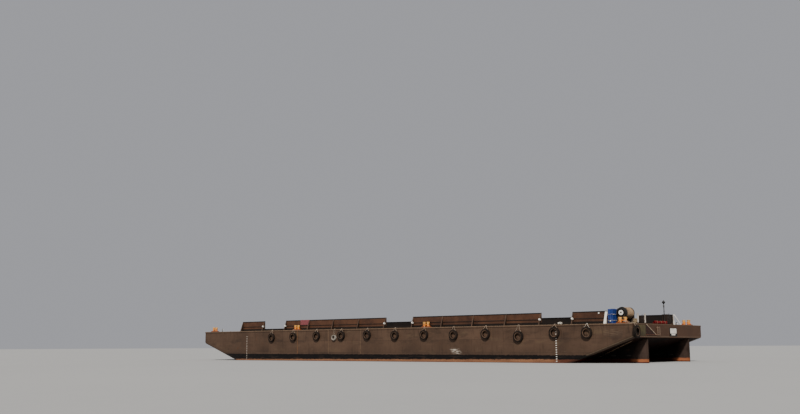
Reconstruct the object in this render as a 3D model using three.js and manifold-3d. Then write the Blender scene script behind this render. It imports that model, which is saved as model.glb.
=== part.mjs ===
// Flat-top cargo barge with side boards, tyre fenders and a stern winch, as a 1:2 scale model.
// Millimetres, +Z up, keel bottom at z = 0, +X toward the stern, the -Y side is the near side.
import * as THREE from 'three';
import { mergeVertices } from 'three/addons/utils/BufferGeometryUtils.js';
import Module from 'manifold-3d';

const wasm = await Module();
wasm.setup();

// Driving dimensions. metre(n) gives the model size of n full-size metres.
const MODEL_SCALE = 0.5;
const metre = (n) => n * 1000 * MODEL_SCALE;
const GAP = 0.3;                        // between pieces that touch
const HULL_LENGTH = metre(70.1);
const HALF_BEAM = metre(9.15);
const DECK = metre(4.88);               // deck height over the keel bottom
const FENDER_WIDTH = metre(0.3);
const STERN_FENDER_WIDTH = metre(0.34);

// The stern fender rests on the bar along the foot of the transom and sticks out aft,
// so the hull sits forward of the middle by half of that reach.
const TRANSOM_BAR = { out: 30, height: 60, inset: 160 };
const FENDER_REACH = TRANSOM_BAR.out + GAP + STERN_FENDER_WIDTH;
const STERN = (HULL_LENGTH - FENDER_REACH) / 2;
const BOW = STERN - HULL_LENGTH;
const aft = (n) => STERN + metre(n);    // full-size metres from the transom, negative is forward

const BILGE_RADIUS = 150;
const KNUCKLE_RADIUS = 1500;
const RUB_STRIP = { out: 30, chamfer: 20, height: 110 };
const STERN_RAKE = { length: metre(9.52), end: metre(3.4) };
const BOW_RAKE = { length: metre(9.0), end: metre(3.1) };
const SKEG = { y: metre(5.5), thick: 60, floor: 5, tip: 240, edge: 45 };

// Side boards: stays stand at one pitch, and each board covers a run of them.
const STAY_PITCH = metre(4.61);
const FIRST_STAY = aft(-57.5);
const stayX = (i) => (i < 11 ? FIRST_STAY + i * STAY_PITCH : aft(i === 11 ? -7.26 : -3.24));
const BOARD_Y = HALF_BEAM - metre(0.6);
const BOARD_TOP = DECK + metre(1.38);
const BOARD_THICK = 20;
const COAMING = { thick: 30, height: 140 };
const STAY = { foot: HALF_BEAM - 25, web: 14, flange: 70, flangeThick: 14, broad: 135 };
const BOARDS = [
  { name: '1', first: -1, last: 0, sockets: [0], broad: [] },
  { name: '2', first: 1, last: 5, sockets: [1, 5], broad: [] },
  { name: '3', first: 6, last: 10, sockets: [6, 10], broad: [] },
  { name: '4', first: 11, last: 12, sockets: [11], broad: [12] },
];

// Tyre fenders along each side: metres from the transom, drop below the deck, outer radius.
const SIDE_TYRES = [
  { x: -55.2, drop: 0.98, radius: 0.62 }, { x: -50.8, drop: 0.94, radius: 0.62 },
  { x: -46.25, drop: 0.86, radius: 0.62 }, { x: -41.65, drop: 0.85, radius: 0.62 },
  { x: -37.05, drop: 0.83, radius: 0.62 }, { x: -32.35, drop: 0.92, radius: 0.62 },
  { x: -27.65, drop: 0.91, radius: 0.62 }, { x: -23.15, drop: 0.98, radius: 0.62 },
  { x: -18.5, drop: 0.91, radius: 0.62 }, { x: -14.0, drop: 1.25, radius: 0.66 },
  { x: -9.3, drop: 0.88, radius: 0.66 }, { x: -5.3, drop: 0.94, radius: 0.66 },
];
const SMALL_TYRE = { x: -42.95, drop: 1.1, radius: 0.37 };
const STERN_TYRE = { y: -metre(8.74), z: metre(4.0), radius: metre(0.69) };
const TYRE_SEGMENTS = 16;

// Bitts: metres from the transom and from the middle line.
const BITTS = [
  { name: 'bow', x: -68.5, y: 8.6 }, { name: 'forward', x: -50.46, y: 8.85 },
  { name: 'middle', x: -27.6, y: 8.85 }, { name: 'stern', x: -1.45, y: 8.42 },
];
const BITT = { spacing: metre(0.58), radius: metre(0.17), cap: metre(0.196), height: metre(0.67) };
const BITT_BASE = { length: metre(1.5), width: metre(0.46), thick: metre(0.12) };

// Stern winch: its shaft lies across the barge.
const WINCH = { x: aft(-2.5), z: DECK + metre(1.22), near: -metre(6.6), far: -metre(4.4) };
const DRUM = { rope: metre(0.57), flange: metre(0.63), shaft: 40, head: metre(0.33), eye: 65 };
const CHEEK = { thick: 35, foot: 330, top: 95, near: -metre(6.45), far: -metre(4.55) };
const BEARING_GAP = 0.8;
const POWER_PACK = { x: [aft(-3.85), aft(-3.35)], y: [-metre(7.0), -metre(5.7)], top: metre(1.6) };
const COVER = { skin: 12, slack: 10, hem: 40 };
const ROPE_COIL = { x: aft(-1.28), y: -metre(5.6), radius: metre(0.42), hole: 60, height: metre(0.62) };

// Stern access hatch between two posts, and the deck locker, each with a hinged lid.
const HATCH = { x: [aft(-0.72), aft(-0.3)], y: [-metre(6.3), -metre(5.66)], height: metre(0.84), wall: 14 };
const HATCH_POSTS = { x: aft(-0.45), y: [-metre(6.85), -metre(5.1)], radius: 40, height: metre(1.08) };
const LOCKER = { x: [aft(-0.95), aft(-0.32)], y: [metre(0.45), metre(1.35)], height: metre(1.12), wall: 12 };
const LID = { skin: 12, skirt: 50, clearance: 5, seat: 0.5, pin: 12, ear: 14, arm: 30 };

// Light mast in a folding foot, with a diamond day shape at its head.
const MAST = { x: aft(-0.5), y: 0, height: metre(2.72), radius: 25, pivot: 110, pin: 12 };
const DIAMOND = { radius: metre(0.2), height: metre(0.47) };
const LAMP = { radius: 40, low: metre(1.93), high: metre(2.2) };
const ROLLED_COVER = { x: aft(-0.18), y: [-metre(3.44), -metre(0.2)], width: 170, height: 190 };
const LADDER = { y: [-metre(3.24), -metre(2.71)], z: [metre(3.6), metre(4.6)], bar: 26, standoff: 60, rungs: 4 };
const LADDER_SIDE = { y: -metre(5.97), foot: -metre(3.57), low: metre(3.68), high: metre(4.83), plate: 16 };

const COLOURS = {
  plating: [0x5a4435, 0.85, 0.1], underside: [0x2a211d, 0.9, 0.1], boards: [0x4d3f33, 0.88, 0.1],
  rubber: [0x1b1a19, 0.95, 0], bitts: [0xd79a3c, 0.6, 0.1], steel: [0x4b4a48, 0.6, 0.5],
  rope: [0xa0875e, 0.95, 0], tarp: [0x28508f, 0.8, 0], white: [0xd8d6cf, 0.6, 0],
  black: [0x191817, 0.8, 0.1], red: [0xa8323a, 0.9, 0],
};
const material = ([color, roughness, metalness]) =>
  new THREE.MeshStandardMaterial({ color, roughness, metalness });
const MATERIALS = Object.fromEntries(Object.entries(COLOURS).map(([k, v]) => [k, material(v)]));

// Solid helpers: a geometry becomes a solid for joins and cuts, and comes back flat shaded.
function toSolid(geometry) {
  const bare = geometry.clone();
  bare.deleteAttribute('normal');
  bare.deleteAttribute('uv');
  const merged = mergeVertices(bare, 1e-3);
  const place = merged.attributes.position;
  const corner = (i) => new THREE.Vector3().fromBufferAttribute(place, i);
  const faces = [];
  let volume = 0;
  for (let i = 0; i < merged.index.count; i += 3) {
    const face = [0, 1, 2].map((k) => merged.index.getX(i + k));
    if (new Set(face).size < 3) continue;
    faces.push(face);
    volume += corner(face[0]).dot(corner(face[1]).cross(corner(face[2])));
  }
  if (volume < 0) faces.forEach((face) => face.reverse());
  return new wasm.Manifold(new wasm.Mesh({
    numProp: 3,
    vertProperties: new Float32Array(place.array),
    triVerts: new Uint32Array(faces.flat()),
  }));
}

function fromSolid(solid) {
  const { vertProperties, triVerts } = solid.getMesh();
  const geometry = new THREE.BufferGeometry();
  geometry.setAttribute('position', new THREE.BufferAttribute(new Float32Array(vertProperties), 3));
  geometry.setIndex(new THREE.BufferAttribute(new Uint32Array(triVerts), 1));
  const flat = geometry.toNonIndexed();
  flat.computeVertexNormals();
  return flat;
}

const join = (parts) => fromSolid(parts.map(toSolid).reduce((a, b) => a.add(b)));
const cut = (base, tools) => fromSolid(tools.map(toSolid).reduce((a, b) => a.subtract(b), toSolid(base)));

// A box from a low and a high value along each axis, in either order.
function box(x, y, z) {
  const size = [x, y, z].map(([a, b]) => Math.abs(b - a));
  const middle = [x, y, z].map(([a, b]) => (a + b) / 2);
  return new THREE.BoxGeometry(...size).translate(...middle);
}

function shapeOf(points) {
  return new THREE.Shape(points.map(([a, b]) => new THREE.Vector2(a, b)));
}

// An outline of (y, z) points drawn out along X.
function prismAlongX(points, [x0, x1]) {
  const geometry = new THREE.ExtrudeGeometry(shapeOf(points), { depth: x1 - x0, bevelEnabled: false });
  const turn = new THREE.Matrix4().makeBasis(
    new THREE.Vector3(0, 1, 0), new THREE.Vector3(0, 0, 1), new THREE.Vector3(1, 0, 0));
  return geometry.applyMatrix4(turn).translate(x0, 0, 0);
}

// An outline of (x, z) points drawn out along Y.
function prismAlongY(points, [y0, y1]) {
  const geometry = new THREE.ExtrudeGeometry(shapeOf(points), { depth: y1 - y0, bevelEnabled: false });
  return geometry.rotateX(Math.PI / 2).translate(0, y1, 0);
}

// A turned solid about the Y axis from (radius, y) points.
function turned(points, segments) {
  const outline = points.map(([r, y]) => new THREE.Vector2(r, y));
  return new THREE.LatheGeometry(outline, segments);
}

function rodAlongY(x, [y0, y1], z, radius, segments = 24) {
  const rod = new THREE.CylinderGeometry(radius, radius, Math.abs(y1 - y0), segments);
  return rod.translate(x, (y0 + y1) / 2, z);
}

function rodAlongX([x0, x1], y, z, radius, segments = 16) {
  const rod = new THREE.CylinderGeometry(radius, radius, Math.abs(x1 - x0), segments).rotateZ(Math.PI / 2);
  return rod.translate((x0 + x1) / 2, y, z);
}

function rodUp(x, y, [z0, z1], radius, segments = 20) {
  const rod = new THREE.CylinderGeometry(radius, radius, z1 - z0, segments).rotateX(Math.PI / 2);
  return rod.translate(x, y, (z0 + z1) / 2);
}

const group = new THREE.Group();
function add(name, geometry, finish, position = [0, 0, 0], rotation = [0, 0, 0]) {
  const mesh = new THREE.Mesh(geometry, MATERIALS[finish]);
  mesh.name = name;
  mesh.position.set(...position);
  mesh.rotation.set(...rotation);
  group.add(mesh);
}

// Hull: cross sections of straight sides, a round bilge and a rub strip at the deck edge.
function hullSection(keel) {
  const bottomHalf = [];
  const arcSteps = 4;
  for (let i = 0; i <= arcSteps; i += 1) {
    const angle = (i / arcSteps) * Math.PI / 2;
    const y = HALF_BEAM - BILGE_RADIUS + BILGE_RADIUS * Math.cos(angle);
    bottomHalf.push([y, keel + BILGE_RADIUS - BILGE_RADIUS * Math.sin(angle)]);
  }
  const stripTop = DECK - RUB_STRIP.chamfer;
  const half = [
    [HALF_BEAM + RUB_STRIP.out - RUB_STRIP.chamfer, DECK],
    [HALF_BEAM + RUB_STRIP.out, stripTop],
    [HALF_BEAM + RUB_STRIP.out, DECK - RUB_STRIP.height + RUB_STRIP.out],
    [HALF_BEAM, DECK - RUB_STRIP.height],
    ...bottomHalf,
  ];
  return [...half, ...half.map(([y, z]) => [-y, z]).reverse()];
}

// Stations of one raked end: the flat bottom turns up through a round knuckle.
function rakeStations(end, toward, rake) {
  const slope = Math.atan2(rake.end, rake.length);
  const knuckle = end - toward * rake.length;
  const tangent = KNUCKLE_RADIUS * Math.tan(slope / 2);
  const rise = KNUCKLE_RADIUS * (1 - Math.cos(slope / 2));
  const run = tangent - KNUCKLE_RADIUS * Math.sin(slope / 2);
  return [
    { x: knuckle - toward * tangent, keel: 0 },
    { x: knuckle - toward * run, keel: rise },
    { x: knuckle + toward * tangent * Math.cos(slope), keel: tangent * Math.sin(slope) },
    { x: end, keel: rake.end },
  ];
}

function loft(stations) {
  const rings = stations.map(({ x, keel }) => hullSection(keel).map(([y, z]) => [x, y, z]));
  const count = rings[0].length;
  const index = [];
  for (let s = 0; s + 1 < rings.length; s += 1) {
    for (let i = 0; i < count; i += 1) {
      const j = (i + 1) % count;
      const [a, b] = [s * count + i, s * count + j];
      index.push(a, b, b + count, a, b + count, a + count);
    }
  }
  const last = (rings.length - 1) * count;
  const outline = rings[0].map(([, y, z]) => new THREE.Vector2(y, z));
  const endOutline = rings[rings.length - 1].map(([, y, z]) => new THREE.Vector2(y, z));
  THREE.ShapeUtils.triangulateShape(outline, []).forEach(([a, b, c]) => index.push(a, b, c));
  THREE.ShapeUtils.triangulateShape(endOutline, [])
    .forEach(([a, b, c]) => index.push(last + a, last + c, last + b));
  const geometry = new THREE.BufferGeometry();
  geometry.setAttribute('position', new THREE.Float32BufferAttribute(rings.flat(2), 3));
  geometry.setIndex(index);
  return geometry;
}

function hull() {
  const stations = [
    ...rakeStations(BOW, -1, BOW_RAKE).reverse(),
    ...rakeStations(STERN, 1, STERN_RAKE),
  ];
  const bar = box([STERN - 20, STERN + TRANSOM_BAR.out],
    [-HALF_BEAM + TRANSOM_BAR.inset, HALF_BEAM - TRANSOM_BAR.inset],
    [STERN_RAKE.end, STERN_RAKE.end + TRANSOM_BAR.height]);
  return join([loft(stations), bar]);
}

// Skeg: a plate under the stern rake with a thick aft edge.
function skeg(side) {
  const slope = STERN_RAKE.end / STERN_RAKE.length;
  const clear = GAP * Math.hypot(1, slope) + 0.1;
  const under = (x) => STERN_RAKE.end - (STERN - x) * slope - clear;
  const y = side * SKEG.y;
  const back = STERN - 6;
  const tipX = STERN - STERN_RAKE.length + SKEG.tip / slope;
  const plate = prismAlongY(
    [[tipX, SKEG.floor], [back, SKEG.floor], [back, under(back)], [tipX, under(tipX)]],
    [y - SKEG.thick / 2, y + SKEG.thick / 2]);
  const post = prismAlongY(
    [[back - 80, SKEG.floor], [back, SKEG.floor], [back, under(back)], [back - 80, under(back - 80)]],
    [y - SKEG.edge, y + SKEG.edge]);
  return join([plate, post]);
}

// One stay of a side board, from the board down and out to the deck edge.
function stay(side, x, width) {
  const board = BOARD_Y;
  const coamingFace = BOARD_Y + COAMING.thick / 2 + GAP;
  const foot = DECK + GAP;
  const shelf = DECK + COAMING.height + 2 * GAP + 1;
  const head = BOARD_TOP - 40;
  const web = [
    [board, head], [board, shelf], [coamingFace, shelf], [coamingFace, foot],
    [STAY.foot - 6, foot], [board + 20, head],
  ];
  const flange = [
    [STAY.foot - STAY.flangeThick, foot], [STAY.foot, foot],
    [board + 20 + STAY.flangeThick, head], [board + 16, head],
  ];
  const outline = (points) => points.map(([y, z]) => [side * y, z]);
  const pad = box([x - 60, x + 60], [side * (STAY.foot - 110), side * (STAY.foot + 6)], [foot, foot + 14]);
  return [
    prismAlongX(outline(web), [x - STAY.web / 2, x + STAY.web / 2]),
    prismAlongX(outline(flange), [x - width / 2, x + width / 2]),
    pad,
  ];
}

// Short pipe through an end stay, where a safety chain hooks in.
function chainSocket(side, x) {
  const middle = (BOARD_Y + 20 + STAY.foot) / 2;
  return rodAlongX([x - 45, x + 45], side * middle, DECK + metre(0.62), 52);
}

function sideBoard(side, { first, last, sockets, broad }) {
  const base = DECK + COAMING.height + 2 * GAP;
  const x = [stayX(first) - 40, stayX(last) + 40];
  const across = (near, far) => [side * (BOARD_Y + near), side * (BOARD_Y + far)];
  const half = BOARD_THICK / 2;
  const parts = [
    box(x, across(-half, half), [base, BOARD_TOP]),
    box(x, across(-34, 26), [BOARD_TOP - 50, BOARD_TOP]),
    box(x, across(0, half + 30), [DECK + 290, DECK + 320]),
    box(x, across(-half - 20, half + 5), [base, base + 30]),
  ];
  for (let i = first; i <= last; i += 1) {
    parts.push(...stay(side, stayX(i), broad.includes(i) ? STAY.broad : STAY.flange));
  }
  sockets.forEach((i) => parts.push(chainSocket(side, stayX(i))));
  return join(parts);
}

function coaming(side) {
  const y = [side * (BOARD_Y - COAMING.thick / 2), side * (BOARD_Y + COAMING.thick / 2)];
  return box([stayX(-1) - 60, stayX(12) + 60], y, [DECK + GAP, DECK + GAP + COAMING.height]);
}

// Tyre: an open-backed ring section, turned about Y and centred on its own middle.
function tyre(radius, width) {
  const outline = [
    [0.56, -0.4], [0.8, -0.5], [0.985, -0.38], [0.985, 0.38],
    [0.8, 0.5], [0.56, 0.4], [0.86, 0.34], [0.86, -0.34], [0.56, -0.4],
  ];
  return fromSolid(toSolid(turned(outline.map(([r, y]) => [r * radius, y * width]), TYRE_SEGMENTS)));
}

// Bitts: two capped posts on a base plate, with a cross bar between them.
function bitts() {
  const base = box([-BITT_BASE.length / 2, BITT_BASE.length / 2],
    [-BITT_BASE.width / 2, BITT_BASE.width / 2], [0, BITT_BASE.thick]);
  const bar = box([-BITT.spacing / 2, BITT.spacing / 2], [-25, 25],
    [BITT.height * 0.42, BITT.height * 0.42 + 50]);
  const posts = [-1, 1].map((end) => {
    const outline = [
      [0, 10], [BITT.radius, 10], [BITT.radius, BITT.height - 40], [BITT.cap, BITT.height - 30],
      [BITT.cap, BITT.height - 8], [BITT.cap - 14, BITT.height], [0, BITT.height],
    ];
    return turned(outline, 14).rotateX(Math.PI / 2).translate(end * BITT.spacing / 2, 0, 0);
  });
  return join([base, bar, ...posts]);
}

// Winch drum with its rope, shaft and outer head, centred on the shaft.
function winchDrum() {
  const flangeIn = 14;
  const near = CHEEK.near + CHEEK.thick / 2 + 8;
  const far = CHEEK.far - CHEEK.thick / 2 - 8;
  const headOut = WINCH.near - 30;
  const headIn = CHEEK.near - CHEEK.thick / 2 - 8;
  const outline = [
    [0, headOut + 18], [DRUM.eye, headOut + 18], [DRUM.eye, headOut], [DRUM.head, headOut],
    [DRUM.head, headOut + 22], [DRUM.shaft + 30, headOut + 30], [DRUM.shaft + 30, headIn],
    [DRUM.shaft, headIn], [DRUM.shaft, near], [DRUM.flange, near], [DRUM.flange, near + flangeIn],
    [DRUM.rope, near + flangeIn], [DRUM.rope, far - flangeIn], [DRUM.flange, far - flangeIn],
    [DRUM.flange, far], [DRUM.shaft, far], [DRUM.shaft, CHEEK.far + CHEEK.thick / 2 + 20],
    [0, CHEEK.far + CHEEK.thick / 2 + 20],
  ];
  return fromSolid(toSolid(turned(outline, 24)));
}

// Winch bed: two cheeks that carry the shaft, skids, cross beams and the drive housing.
function winchBed() {
  const height = WINCH.z - DECK;
  const bearing = DRUM.shaft + BEARING_GAP;
  const skidTop = GAP + 70;
  const cheek = (y) => {
    const outline = [
      [-CHEEK.foot, GAP], [CHEEK.foot, GAP], [CHEEK.foot, skidTop + 40],
      [CHEEK.top, height + 60], [50, height + 100], [-50, height + 100],
      [-CHEEK.top, height + 60], [-CHEEK.foot, skidTop + 40],
    ];
    return prismAlongY(outline, [y - CHEEK.thick / 2, y + CHEEK.thick / 2]);
  };
  const beam = (x) => box([x - 40, x + 40], [CHEEK.near, CHEEK.far], [GAP, skidTop]);
  const drive = box([-150, 190], [CHEEK.far, CHEEK.far + 210], [GAP, height + 130]);
  const hollow = box([-110, 110], [CHEEK.far + 10, CHEEK.far + 150], [height - 110, height + 90]);
  const motor = rodAlongY(-60, [CHEEK.far + 150, CHEEK.far + 420], height - 210, 105);
  const foot = box([-130, 10], [CHEEK.far + 240, CHEEK.far + 400], [GAP, height - 250]);
  const solid = join([cheek(CHEEK.near), cheek(CHEEK.far), beam(-250), beam(250), drive, motor, foot]);
  const bore = rodAlongY(0, [CHEEK.near - 60, CHEEK.far + 60], height, bearing, 32);
  return cut(solid, [bore, hollow]);
}

function taperedBlock(low, high) {
  const ring = ({ x, y, z }) => [[x[0], y[0], z], [x[1], y[0], z], [x[1], y[1], z], [x[0], y[1], z]];
  const geometry = new THREE.BufferGeometry();
  const points = [...ring(low), ...ring(high)].flat();
  geometry.setAttribute('position', new THREE.Float32BufferAttribute(points, 3));
  const sides = [0, 1, 2, 3].flatMap((i) => {
    const j = (i + 1) % 4;
    return [i, j, j + 4, i, j + 4, i + 4];
  });
  geometry.setIndex([0, 2, 1, 0, 3, 2, 4, 5, 6, 4, 6, 7, ...sides]);
  return geometry;
}

// Cover over the power pack: a thin skin, open at its hem.
function cover() {
  const wider = ([a, b], n) => [a - n, b + n];
  const top = DECK + GAP + POWER_PACK.top;
  const inside = COVER.slack;
  const outside = COVER.slack + COVER.skin;
  const outer = taperedBlock(
    { x: wider(POWER_PACK.x, outside + 14), y: wider(POWER_PACK.y, outside + 14), z: DECK + COVER.hem },
    { x: wider(POWER_PACK.x, outside), y: wider(POWER_PACK.y, outside), z: top + GAP + COVER.skin });
  const inner = taperedBlock(
    { x: wider(POWER_PACK.x, inside + 14), y: wider(POWER_PACK.y, inside + 14), z: DECK + COVER.hem - 20 },
    { x: wider(POWER_PACK.x, inside), y: wider(POWER_PACK.y, inside), z: top + GAP });
  return cut(outer, [inner]);
}

// Coil of rope laid down in rings, standing on the deck.
function ropeCoil() {
  const { radius, hole, height } = ROPE_COIL;
  const outline = [
    [hole, 0], [radius, 0], [radius, height * 0.3], [radius * 0.93, height * 0.55],
    [radius * 0.8, height * 0.8], [radius * 0.55, height], [hole, height * 0.9], [hole, 0],
  ];
  return fromSolid(toSolid(turned(outline, 24).rotateX(Math.PI / 2)));
}

// Open box with a floor, two hinge ears on its forward edge and, for the hatch, two posts.
function trunk({ x, y, height, wall }) {
  const shell = box(x, y, [0, height]);
  const inside = box([x[0] + wall, x[1] - wall], [y[0] + wall, y[1] - wall], [wall, height + 10]);
  const ears = earPlaces(y).map((place) => {
    const outline = [
      [x[0] + 2, height - 90], [x[0] - LID.arm - LID.pin - 10, height - 30],
      [x[0] - LID.arm - LID.pin - 10, height + LID.pin + 4], [x[0] - LID.arm + LID.pin, height + LID.pin + 4],
      [x[0] + 2, height - 30],
    ];
    return prismAlongY(outline, [place - LID.ear / 2, place + LID.ear / 2]);
  });
  return { parts: [shell, ...ears], inside };
}

// Places of the two hinge ears along the trunk's forward edge.
function earPlaces([y0, y1]) {
  const inset = (y1 - y0) * 0.22;
  return [y0 + inset, y1 - inset];
}

function hatchTrunk() {
  const { parts, inside } = trunk(HATCH);
  HATCH_POSTS.y.forEach((y) => {
    parts.push(rodUp(HATCH_POSTS.x, y, [0, HATCH_POSTS.height], HATCH_POSTS.radius));
    parts.push(rodUp(HATCH_POSTS.x, y, [0, 14], HATCH_POSTS.radius + 35));
    const wall = Math.abs(y - HATCH.y[0]) < Math.abs(y - HATCH.y[1]) ? HATCH.y[0] : HATCH.y[1];
    parts.push(box([HATCH_POSTS.x - 12, HATCH_POSTS.x + 12], [y, wall], [150, 180]));
  });
  return cut(join(parts), [inside, hingeBore(HATCH)]);
}

function lockerTrunk() {
  const { parts, inside } = trunk(LOCKER);
  return cut(join(parts), [inside, hingeBore(LOCKER)]);
}

const hingeX = ({ x }) => x[0] - LID.arm;
function hingeBore({ x, y, height }) {
  return rodAlongY(hingeX({ x }), [y[0] - 20, y[1] + 20], height, LID.pin + BEARING_GAP, 16);
}

// Lid with a skirt, two arms and its hinge pin, drawn about the hinge line.
function trunkLid({ x, y, height }) {
  const over = LID.clearance + LID.skin;
  const reach = [x[0] - hingeX({ x }) - over, x[1] - hingeX({ x }) + over];
  const side = [y[0] - over, y[1] + over];
  const top = LID.seat + LID.skin;
  const shell = box(reach, side, [-LID.skirt, top]);
  const under = box([reach[0] + LID.skin, reach[1] - LID.skin], [side[0] + LID.skin, side[1] - LID.skin],
    [-LID.skirt - 10, LID.seat]);
  const pocket = box([reach[0] - 10, reach[0] + LID.skin + 4], [y[0] - 30, y[1] + 30], [-LID.skirt - 10, -0.01]);
  const earRoom = earPlaces(y).map((place) =>
    box([-60, reach[0] + LID.skin + 4], [place - LID.ear, place + LID.ear], [-LID.skirt - 10, top + 30]));
  const middle = (y[0] + y[1]) / 2;
  const places = earPlaces(y);
  const pin = rodAlongY(0, [places[0] - 26, places[1] + 26], 0, LID.pin, 16);
  const knuckle = rodAlongY(0, [places[0] + 14, places[1] - 14], 0, LID.pin + 6, 16);
  const arm = box([0, reach[0] + 20], [middle - (places[1] - places[0]) / 2 + 14,
    middle + (places[1] - places[0]) / 2 - 14], [LID.seat, top]);
  const body = toSolid(shell).subtract(toSolid(under)).subtract(toSolid(pocket));
  const cleared = earRoom.map(toSolid).reduce((a, b) => a.subtract(b), body);
  const whole = [pin, knuckle, arm].map(toSolid).reduce((a, b) => a.add(b), cleared);
  return fromSolid(whole);
}

// Light mast: folding foot on deck, and the pole with its diamond and lamp.
function mastFoot() {
  const base = box([-90, 90], [-90, 90], [0, 16]);
  const ears = [-1, 1].map((side) => {
    const y = side * (MAST.radius + 12);
    const outline = [[-45, 0], [45, 0], [30, MAST.pivot + 30], [-30, MAST.pivot + 30]];
    return prismAlongY(outline, [y - 6, y + 6]);
  });
  const bore = rodAlongY(0, [-80, 80], MAST.pivot, MAST.pin + BEARING_GAP, 16);
  return cut(join([base, ...ears]), [bore]);
}

function lightMast() {
  const rise = (n) => n - MAST.pivot;
  const poleTop = MAST.height - DIAMOND.height;
  const pole = rodUp(0, 0, [rise(35), rise(poleTop + 20)], MAST.radius, 16);
  const pin = rodAlongY(0, [-52, 52], 0, MAST.pin, 16);
  const lamp = rodUp(0, 0, [rise(LAMP.low), rise(LAMP.high)], LAMP.radius, 16);
  const diamond = turned([
    [0, rise(poleTop)], [DIAMOND.radius, rise(poleTop + DIAMOND.height / 2)], [0, rise(MAST.height)],
  ], 12).rotateX(Math.PI / 2);
  return join([pole, pin, lamp, diamond]);
}

// Rolled cover lying along the transom edge.
function rolledCover() {
  const { width, height, y } = ROLLED_COVER;
  const outline = [];
  const steps = 8;
  for (let i = 0; i <= steps; i += 1) {
    const angle = (i / steps) * Math.PI;
    outline.push([Math.cos(angle) * width / 2, Math.sin(angle) * height]);
  }
  return prismAlongY(outline, y);
}

// Stern ladder on the transom, with a triangular side frame beside it.
function sternLadder() {
  const half = LADDER.bar / 2;
  const out = STERN + LADDER.standoff;
  const face = STERN + GAP;
  const parts = LADDER.y.map((y) => box([out - half, out + half], [y - half, y + half], LADDER.z));
  LADDER.y.forEach((y) => [LADDER.z[0] + 60, LADDER.z[1] - 60].forEach((z) => {
    parts.push(box([face, out], [y - half, y + half], [z - half, z + half]));
  }));
  for (let i = 0; i < LADDER.rungs; i += 1) {
    const z = LADDER.z[0] + 70 + i * (LADDER.z[1] - LADDER.z[0] - 130) / (LADDER.rungs - 1);
    parts.push(rodAlongY(out, LADDER.y, z, 10, 8));
  }
  const { y, foot, low, high, plate } = LADDER_SIDE;
  parts.push(prismAlongX([[y, low], [foot, low], [y, high]], [face, face + plate]));
  const diagonal = [[y, high - 12], [y, high], [y + 50, high], [foot + 50, low], [foot - 9, low]];
  parts.push(prismAlongX(diagonal, [face, face + plate + 20]));
  parts.push(box([face, face + plate + 20], [y, LADDER.y[1]], [low, low + 30]));
  return join(parts);
}

function buildBarge() {
  add('hull', hull(), 'plating');
  const sides = [{ name: 'near', side: -1 }, { name: 'far', side: 1 }];
  sides.forEach(({ name, side }) => {
    add(`skeg_${name}`, skeg(side), 'underside');
    add(`coaming_${name}`, coaming(side), 'boards');
    BOARDS.forEach((board) => add(`side_board_${name}_${board.name}`, sideBoard(side, board), 'boards'));
    SIDE_TYRES.forEach(({ x, drop, radius }, i) => {
      const y = side * (HALF_BEAM + GAP + FENDER_WIDTH / 2);
      const shape = tyre(metre(radius), FENDER_WIDTH);
      add(`tyre_fender_${name}_${i + 1}`, shape, 'rubber', [aft(x), y, DECK - metre(drop)]);
    });
    BITTS.forEach((place) => {
      const at = [aft(place.x), side * metre(place.y), DECK + GAP];
      add(`bitts_${place.name}_${name}`, bitts(), 'bitts', at);
    });
  });
  const smallY = -(HALF_BEAM + GAP + FENDER_WIDTH / 2);
  add('tyre_fender_small', tyre(metre(SMALL_TYRE.radius), FENDER_WIDTH), 'rubber',
    [aft(SMALL_TYRE.x), smallY, DECK - metre(SMALL_TYRE.drop)]);
  add('tyre_fender_stern', tyre(STERN_TYRE.radius, STERN_FENDER_WIDTH), 'rubber',
    [STERN + FENDER_REACH - STERN_FENDER_WIDTH / 2, STERN_TYRE.y, STERN_TYRE.z], [0, 0, Math.PI / 2]);
}

function buildSternGear() {
  add('winch_bed', winchBed(), 'steel', [WINCH.x, 0, DECK]);
  add('winch_drum', winchDrum(), 'rope', [WINCH.x, 0, WINCH.z]);
  const packZ = [DECK + GAP, DECK + GAP + POWER_PACK.top];
  add('power_pack', box(POWER_PACK.x, POWER_PACK.y, packZ), 'steel');
  add('power_pack_cover', cover(), 'tarp');
  add('rope_coil', ropeCoil(), 'rope', [ROPE_COIL.x, ROPE_COIL.y, DECK + GAP]);
  add('hatch_trunk', hatchTrunk(), 'black', [0, 0, DECK + GAP]);
  add('hatch_lid', trunkLid(HATCH), 'black', [hingeX(HATCH), 0, DECK + GAP + HATCH.height]);
  add('deck_locker', lockerTrunk(), 'black', [0, 0, DECK + GAP]);
  add('deck_locker_lid', trunkLid(LOCKER), 'black', [hingeX(LOCKER), 0, DECK + GAP + LOCKER.height]);
  add('mast_foot', mastFoot(), 'steel', [MAST.x, MAST.y, DECK + GAP]);
  add('light_mast', lightMast(), 'black', [MAST.x, MAST.y, DECK + GAP + MAST.pivot]);
  add('rolled_cover', rolledCover(), 'red', [ROLLED_COVER.x, 0, DECK + GAP]);
  add('stern_ladder', sternLadder(), 'steel');
}

buildBarge();
buildSternGear();

export default group;
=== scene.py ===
"""Looks of the river barge, a 1:2 scale model. Metres; +X is the stern, -Y the near side, +Z up."""

from math import atan2, ceil, copysign, cos, exp, hypot, pi, radians, sin, sqrt, tan

import bmesh
import bpy
import numpy as np
from mathutils import Matrix, Vector, noise


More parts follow.
